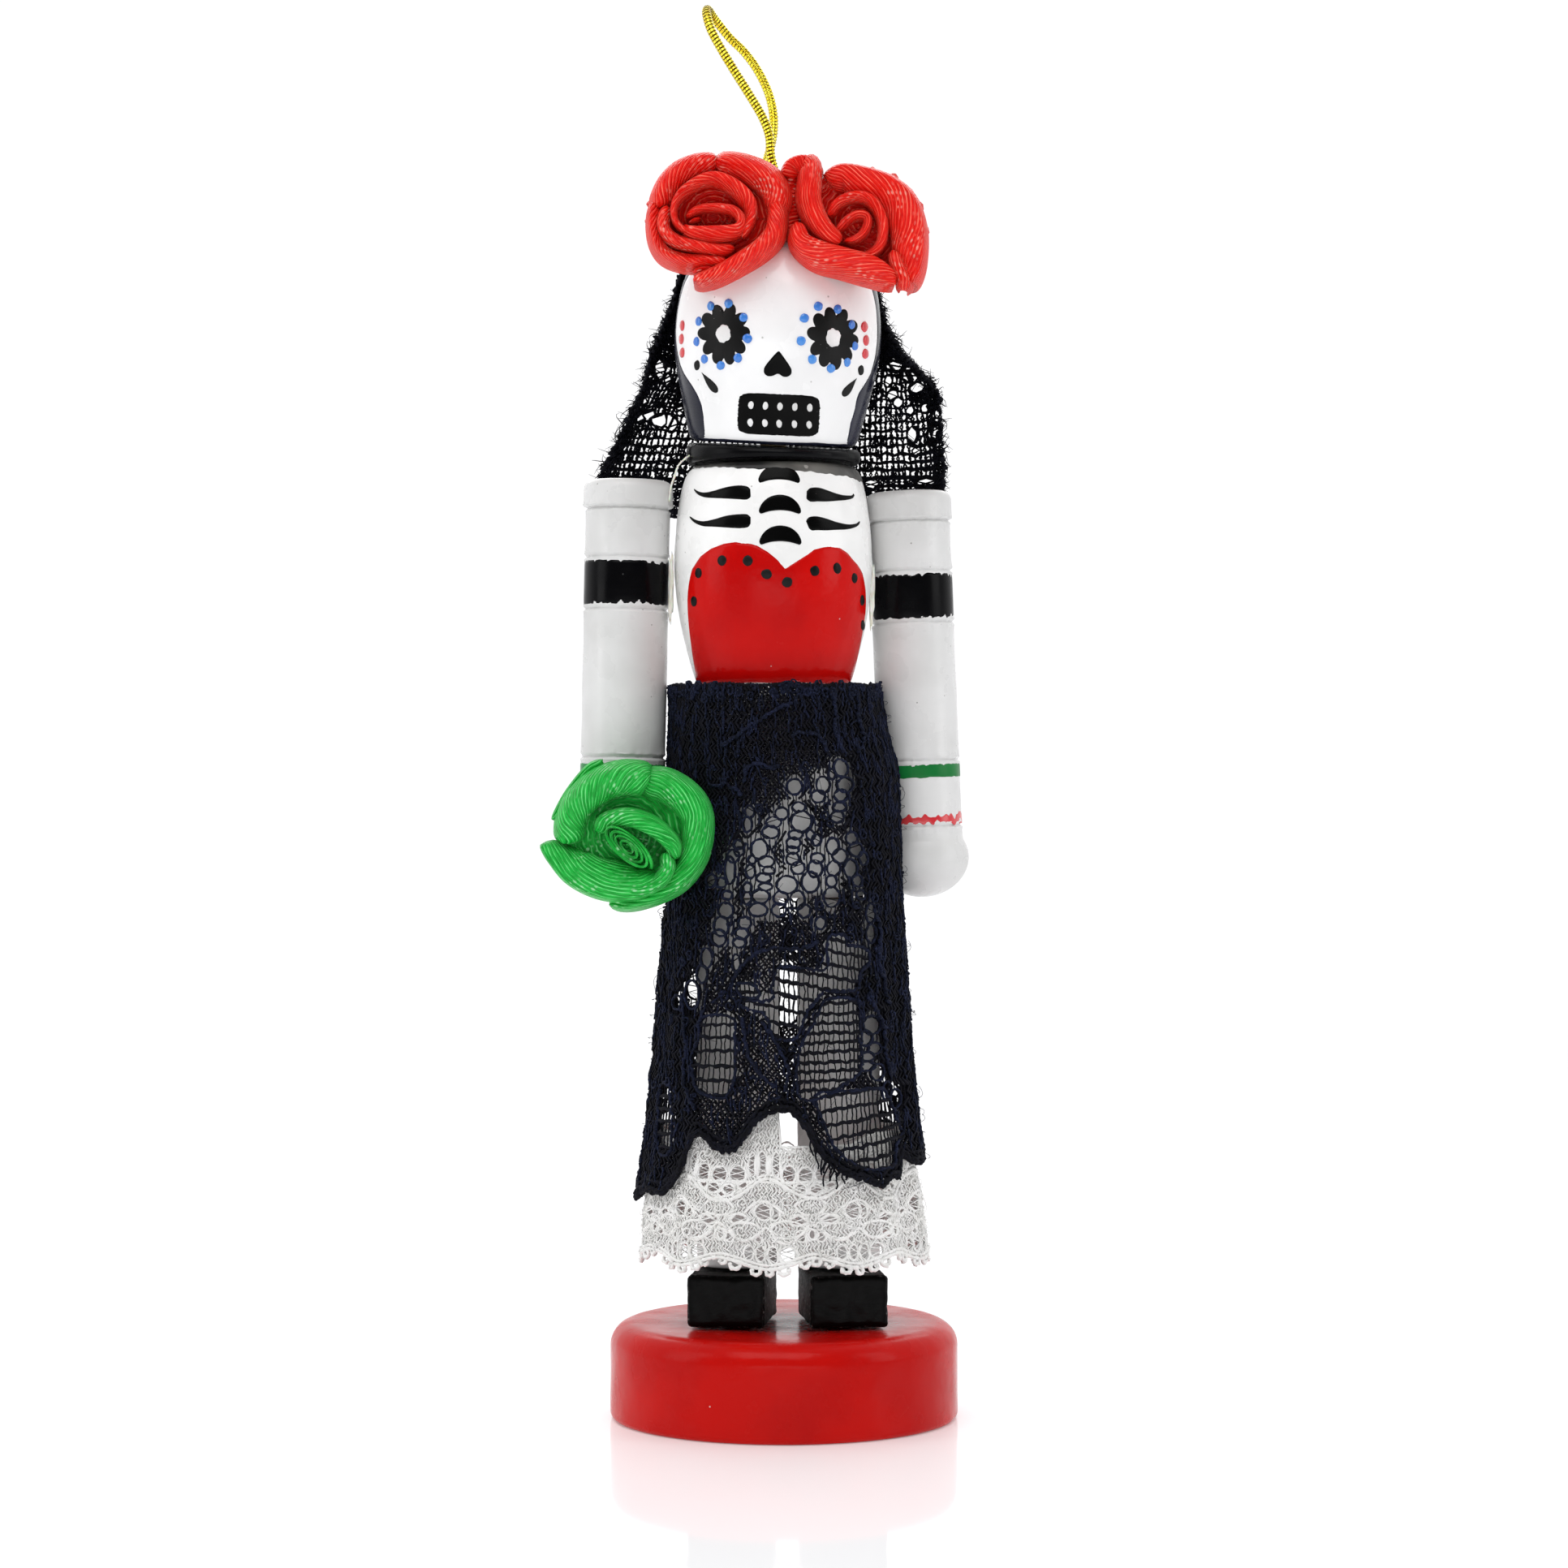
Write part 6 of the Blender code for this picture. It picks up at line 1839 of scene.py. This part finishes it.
def gathered_back(outline, deep, front):
    """The gathered ribbon behind a rose: a closed shallow bowl with folds that meet behind."""
    n = 120
    angle = np.arange(n) * TAU / n
    rings = ((0.05, front), (0.35, front), (0.7, front), (0.9, front + 0.5), (0.97, front - 0.6),
             (0.98, -1.5), (0.9, -deep * 0.55), (0.7, -deep * 0.85), (0.4, -deep), (0.1, -deep))
    verts = []
    for k, (share, lift) in enumerate(rings):
        fold = 0.05 * np.sin(17 * angle + 0.7 * k) + 0.03 * np.sin(29 * angle + k)
        reach = np.interp(angle, *outline, period=TAU) * (
            share * (1 + fold * (1.0 if k > 2 else 0.2)))
        sag = 0.25 * np.sin(17 * angle + 1.2) * (k > 4)
        verts.append(np.stack([reach * np.cos(angle), -(lift + sag), reach * np.sin(angle)],
                              axis=1))
    verts = np.array(verts)
    faces = grid_faces(len(rings), n, wrap=True, flip=True)
    faces.append(tuple(range(n)))
    faces.append(tuple(range((len(rings) - 1) * n, len(rings) * n))[::-1])
    uv = np.stack([np.broadcast_to(angle * 6, verts.shape[:2]),
                   np.broadcast_to(np.arange(len(rings))[:, None] * 1.6, verts.shape[:2])], axis=-1)
    return verts.reshape(-1, 3), faces, uv.reshape(-1, 2)


def make_rose(name, bands, middle, reach, seed, material, slot, deep, front=0.2):
    """One rolled ribbon rose in place of its CAD body, in front of the CAD body's middle."""
    draw = rnd(seed)
    parts = []
    for crest, falls, turn in bands:
        parts.append(rolled_band(crest, falls, np.array(middle), math.radians(turn), draw))
    angles = np.radians([p[0] for p in reach])
    outline = (angles, [p[1] for p in reach])
    parts.append(gathered_back(outline, deep, front))
    verts, faces, uvs, base = [], [], [], 0
    for v, f, t in parts:
        verts.append(np.asarray(v))
        faces += [tuple(i + base for i in face) for face in f]
        uvs.append(t)
        base += len(v)
    low, high = (np.array(c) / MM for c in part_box(name))
    rose = new_object(f"{name}_ribbon", np.vstack(verts) + (low + high) / 2, faces, material, slot,
                      uv=np.vstack(uvs), sharp=50)
    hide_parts(name)


def widths(points, lifts, inner, outer):
    """Crest points with lift and widths spread evenly along them."""
    n = len(points)
    share = np.linspace(0, 1, n)
    out = []
    for s, (x, z) in zip(share, points):
        values = [np.interp(s, np.linspace(0, 1, len(v)), v) for v in (lifts, inner, outer)]
        out.append((x, z, *values))
    return out


def tight_core(centre, half_long, half_wide, tilt, turns, lift):
    """Edge-on windings of a ribbon rolled into a flat oval."""
    t = np.linspace(0, turns * TAU, int(turns * 26))
    shrink = 1 - 0.9 * t / t[-1]
    x, z = half_long * shrink * np.cos(t), half_wide * (0.12 + 0.88 * shrink) * np.sin(t)
    cos, sin = math.cos(tilt), math.sin(tilt)
    points = np.column_stack([centre[0] + x * cos - z * sin, centre[1] + x * sin + z * cos])
    return [(*p, lift + 0.25 * math.sin(3 * a), 0.17, 0.17) for p, a in zip(points, t)]


LEFT_ROSE = (
    (widths([(-5.1, 1.0), (-5.6, -.4), (-5.4, -1.8), (-4.1, -2.9), (-1.9, -3.4), (.6, -3.85),
             (2.4, -3.6)], (3.3, 3.6, 3.0), (.9, .8), (.8, .8)), (2.4, 2.6), 28),
    (widths([(-6.7, 1.6), (-6.9, -.8), (-6.5, -2.9), (-5.3, -4.4), (-3.0, -5.1), (-.5, -5.1),
             (1.6, -5.2)], (2.6, 2.9, 2.9), (1.1, .9), (.8, .9)), (2.4, 5.5), 35),
    (widths([(-6.3, .9), (-6.0, 2.3), (-5.1, 4.0), (-3.6, 5.4), (-1.6, 6.2), (.5, 6.4)],
            (2.8, 3.4, 3.2), (1.8, 2.0, 1.9), (1.2, 1.3, 1.1)), (3.0, 5.5), -32),
    (widths([(.2, 5.9), (1.9, 6.2), (4.2, 5.6), (6.2, 4.5), (7.3, 3.0), (7.5, 1.5), (7.0, .2)],
            (3.2, 3.7, 3.7), (1.9, 2.3, 1.9), (1.3, 1.6, 1.5)), (3.0, 5.5), 18),
    (widths([(-2.3, -6.3), (-1.0, -5.85), (.7, -5.9)], (2.2, 2.4), (.5, .5), (.6, .6)), (2, 3), 10),
    (widths([(7.2, 1.6), (7.2, -.5), (6.8, -2.2), (5.3, -3.9), (3.0, -5.4), (.7, -6.6),
             (-1.0, -7.2), (-2.2, -7.4)], (3.9, 4.5, 4.2, 3.4), (1.1, 1.2, .9),
            (1.3, 1.4, .8)), (2.0, 4.6), -38),
    (widths([(3.4, -2.6), (4.4, -.9), (4.7, .6), (4.3, 2.0), (3.1, 3.3), (1.5, 4.2), (-.1, 4.5),
             (-1.9, 3.9), (-3.6, 2.6), (-4.4, 1.1), (-4.4, -.4), (-3.6, -1.5), (-2.4, -2.1)],
            (3.2, 4.1, 4.2, 4.0, 3.8), (1.0, 1.7, 1.3, .6, .5), (.35, .35, .35)), (3.2, 3.0), 24),
    (widths([(-3.0, -.2), (-1.5, .65), (.4, .8), (2.2, .4), (3.0, -.6), (2.5, -1.35), (.3, -1.5),
             (-2.2, -1.5), (-3.3, -1.2)], (3.4, 3.8, 4.0, 3.9, 3.7), (.45, .5, .3, .3),
            (.55, .6, .9, 1.7, 1.3)), (2.4, 2.8), 20),
    (widths([(-2.7, -.9), (-2.0, -.55), (-1.3, -.4)], (3.2, 3.3), (.25, .25), (.3, .3)), (2, 2), 0),
)
RIGHT_ROSE = (
    (widths([(-8.0, 6.2), (-8.5, 4.4), (-8.6, 1.8), (-8.3, -.8), (-7.4, -2.6)], (1.0, .6, .2),
            (1.3, 1.5, 1.3), (.6, .9, .7)), (2.0, 3.4), 80),
    (widths([(-9.2, 5.3), (-8.4, 6.6), (-6.9, 7.1), (-5.6, 6.7), (-4.7, 5.6)], (2.2, 2.8, 2.4),
            (1.8, 2.0), (.5, .6)), (1.8, 4.5), 75),
    (widths([(-4.4, 5.2), (-2.4, 6.0), (.4, 5.5), (3.2, 4.4), (5.3, 2.4), (6.3, -.6), (6.35, -3.4),
             (6.0, -5.6), (5.2, -7.2)], (2.6, 3.3, 3.8, 4.1, 3.9), (2.6, 3.4, 3.7, 3.3, 1.6),
            (.7, .9, 1.0, 1.0)), (2.8, 6.0), 22),
    (widths([(-4.1, .6), (-3.15, 2.1), (-1.45, 2.9), (.4, 2.75), (1.8, 1.4), (2.4, -.5),
             (2.2, -2.5), (1.2, -3.8), (-.3, -4.2)], (3.2, 3.8, 3.8, 3.4), (.9, 1.0, .9),
            (.35, .35)), (2.9, 2.7), 12),
    (widths([(-3.1, -1.1), (-2.2, .05), (-.85, .85), (.35, .65), (.6, -.4), (0.0, -1.6),
             (-1.2, -2.4), (-2.3, -2.4)], (3.0, 3.4, 3.1), (.75, .8), (.35, .35)), (2.6, 2.4), 0),
    (widths([(-6.7, 7.0), (-5.9, 6.3), (-5.9, 4.6), (-6.0, 2.4), (-5.3, .2), (-4.1, -1.5),
             (-2.7, -2.6)], (3.2, 4.0, 4.3, 4.0), (1.1, 1.3, 1.2), (1.6, 1.7, 1.2)),
     (2.6, 4.0), 4),
    (widths([(3.2, -3.4), (3.6, -5.0), (4.3, -6.7), (4.3, -8.0)], (3.9, 4.5, 4.2), (.8, .9),
            (1.0, 1.5)), (2.4, 4.0), 6),
    (widths([(-7.6, -.3), (-7.2, -2.5), (-5.3, -4.0), (-2.4, -4.8), (.5, -5.6), (2.6, -6.6),
             (3.5, -7.3)], (4.0, 4.8, 4.9, 4.5), (1.0, 1.7, 1.6, .8), (.9, 1.6, 1.7, .9)),
     (1.4, 4.4), -24),
)
GREEN_ROSE = (
    (widths([(-8.3, 1.5), (-6.6, 4.6), (-4.3, 7.4), (-2.6, 8.2)], (1.2, 1.3), (.9, 1.0), (.3, .3)),
     (.8, 2.0), 0),
    (widths([(1.9, 5.9), (4.4, 5.8), (6.8, 4.4), (8.3, 2.2), (8.4, -.7), (7.7, -3.1), (5.9, -5.4),
             (3.4, -7.0), (.5, -8.0), (-1.8, -8.0)], (2.6, 3.2, 3.2, 2.8, 2.2),
            (2.4, 2.5, 2.0, 1.2, 1.2), (1.6, 1.7, 1.5, .8)), (2.8, 4.6), 14),
    (widths([(-9.5, -1.3), (-8.3, -3.1), (-6.4, -5.2), (-3.7, -6.6), (-.9, -7.2), (2.2, -6.8),
             (4.3, -5.4)], (2.6, 3.6, 3.6, 3.4), (1.6, 3.8, 4.2, 2.2), (.4, .7, .6)),
     (2.6, 3.6), 6),
    (widths([(4.5, -2.2), (5.0, -3.8), (4.2, -5.4), (2.3, -6.5), (0.0, -6.8)],
            (4.0, 4.2, 3.4), (1.0, 1.2, 1.0), (.8, .7)), (2.6, 2.6), 8),
    (widths([(-6.7, -1.2), (-6.4, 1.6), (-5.1, 3.9), (-2.9, 5.6), (-.3, 6.4), (1.9, 6.3),
             (2.8, 6.1)], (3.2, 4.0, 4.1, 3.9), (2.1, 2.3, 2.2), (1.5, 1.9, 1.9)),
     (3.0, 4.4), -50),
    (widths([(-3.2, .2), (-2.3, 1.5), (0.0, 2.1), (2.4, 1.5), (4.4, .2), (5.7, -1.4), (5.7, -2.9)],
            (3.6, 4.2, 4.2, 3.8), (1.2, 1.4, 1.1), (.8, .9, .7)), (1.2, 3.4), -20),
    (tight_core((.4, -1.65), 3.5, 1.35, math.radians(-43), 4.5, 4.1), (1.6, 1.8), 0),
)


def make_roses(mats):
    make_rose("rose_red_left", LEFT_ROSE, (0.0, 0.0), ((-180, 7.6), (-120, 6.6), (-90, 6.3),
              (-45, 6.9), (0, 8.2), (45, 7.6), (90, 7.3), (135, 7.3)), 211, mats["satin_red"],
              "red_ribbon", 4.2)
    make_rose("rose_red_right", RIGHT_ROSE, (-.5, -.5), ((-180, 7.6), (-120, 6.2), (-90, 6.4),
              (-60, 8.2), (0, 7.0), (45, 6.6), (90, 6.2), (135, 7.6)), 223, mats["satin_red"],
              "red_ribbon", 4.2)
    make_rose("rose_green", GREEN_ROSE, (.4, -1.6), ((-180, 7.0), (-120, 7.4), (-90, 8.0),
              (-45, 8.0), (0, 8.6), (45, 8.2), (90, 7.8), (135, 7.6)), 227, mats["satin_green"],
              "green_ribbon", 3.8)


# ---------------------------------------------------------------- hanging loop

CORD_ROUTE = (
    (-0.6, -3.1, 140.35), (-0.9, -3.3, 142.4), (-1.5, -3.4, 144.8), (-1.7, -3.3, 147.2),
    (-2.5, -3.1, 149.4), (-4.0, -2.8, 152.0), (-5.6, -2.5, 154.6), (-7.2, -2.3, 157.3),
    (-8.4, -2.1, 159.6), (-8.9, -1.2, 161.5), (-8.8, 0.5, 162.4), (-8.0, 2.1, 161.6),
    (-6.4, 2.7, 159.7), (-4.6, 2.6, 157.9), (-3.1, 2.3, 155.8), (-1.9, 1.9, 153.3),
    (-1.3, 1.3, 150.9), (-1.2, 0.6, 148.7), (-1.5, -0.3, 146.6), (-2.1, -1.3, 144.2),
    (-2.6, -2.2, 142.2), (-2.5, -2.8, 140.35))
CORD_RADIUS = 0.55
KNOT_CENTRE = np.array((-1.5, -2.9, 138.4))


def wrapped_cord(line, radius, pitch=0.42, sides=10):
    """Foil wrapped round a core: a ridged tube with a slanting ridge for each wrap."""
    n = len(line)
    along = np.gradient(line, axis=0)
    along /= np.linalg.norm(along, axis=1, keepdims=True)
    side = np.cross(along, (0.0, 1.0, 0.0))
    side /= np.linalg.norm(side, axis=1, keepdims=True) + 1e-9
    up = np.cross(side, along)
    run = np.concatenate([[0], np.cumsum(np.linalg.norm(np.diff(line, axis=0), axis=1))])
    turn = np.arange(sides) * TAU / sides
    r = radius * (0.93 + 0.07 * np.sin(run[:, None] * TAU / pitch + turn[None, :]))
    ring = line[:, None] + r[..., None] * (np.cos(turn)[None, :, None] * side[:, None]
                                           + np.sin(turn)[None, :, None] * up[:, None])
    faces = grid_faces(n, sides, wrap=True)
    faces += [tuple(range(sides))[::-1], tuple(range((n - 1) * sides, n * sides))]
    uv = np.stack([run[:, None] + pitch * turn[None, :] / TAU,
                   np.broadcast_to(turn[None, :] * radius, r.shape)], axis=-1)
    return ring.reshape(-1, 3), faces, uv.reshape(-1, 2)


def make_cord(mats):
    line = smooth_path(CORD_ROUTE, 0.1)
    verts, faces, uv = wrapped_cord(line, CORD_RADIUS)
    cord = new_object("hanging_loop", verts, faces, mats["gold"], "gold_cord", uv=uv)
    t = np.linspace(0, TAU, 40)
    knot_line = np.column_stack([0.40 * (np.sin(t) + 2 * np.sin(2 * t)), -0.62 * np.sin(3 * t),
                                 0.30 * (np.cos(t) - 2 * np.cos(2 * t))]) + KNOT_CENTRE
    verts, faces, uv = wrapped_cord(smooth_path(knot_line[:-1], 0.12), CORD_RADIUS * 0.95)
    knot = new_object("hanging_knot", verts, faces, mats["gold"], "gold_cord", uv=uv)
    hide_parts("hanger_cord")
    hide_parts("hanger_knot")


def glue_strand(mats):
    """The thread of dried glue pulled over the left shoulder."""
    line = smooth_path(((-10.2, -2.6, 110.9), (-11.2, -3.0, 110.3), (-12.1, -3.2, 109.4),
                        (-12.5, -3.0, 108.3), (-13.0, -2.6, 106.9), (-13.2, -2.0, 105.4)), 0.25)
    normals = np.tile((0.0, -1.0, 0.0), (len(line), 1))
    radii = fluffy(rnd(301), len(line), 0.14, 0.3)
    new_object("glue_strand", *tubes([(line, normals, radii)], 6), mats["glue"], "glue")


def build():
    make_camera()
    mats = make_materials()
    make_stage()
    make_base(mats)
    make_shoes(mats)
    make_legs(mats)
    make_torso(mats)
    make_collar(mats)
    make_head(mats)
    make_arms(mats)
    make_glue(mats)
    dress_dowels(mats)
    make_skirt(mats)
    make_petticoat(mats)
    make_veil(mats)
    make_roses(mats)
    make_cord(mats)
    glue_strand(mats)


build()
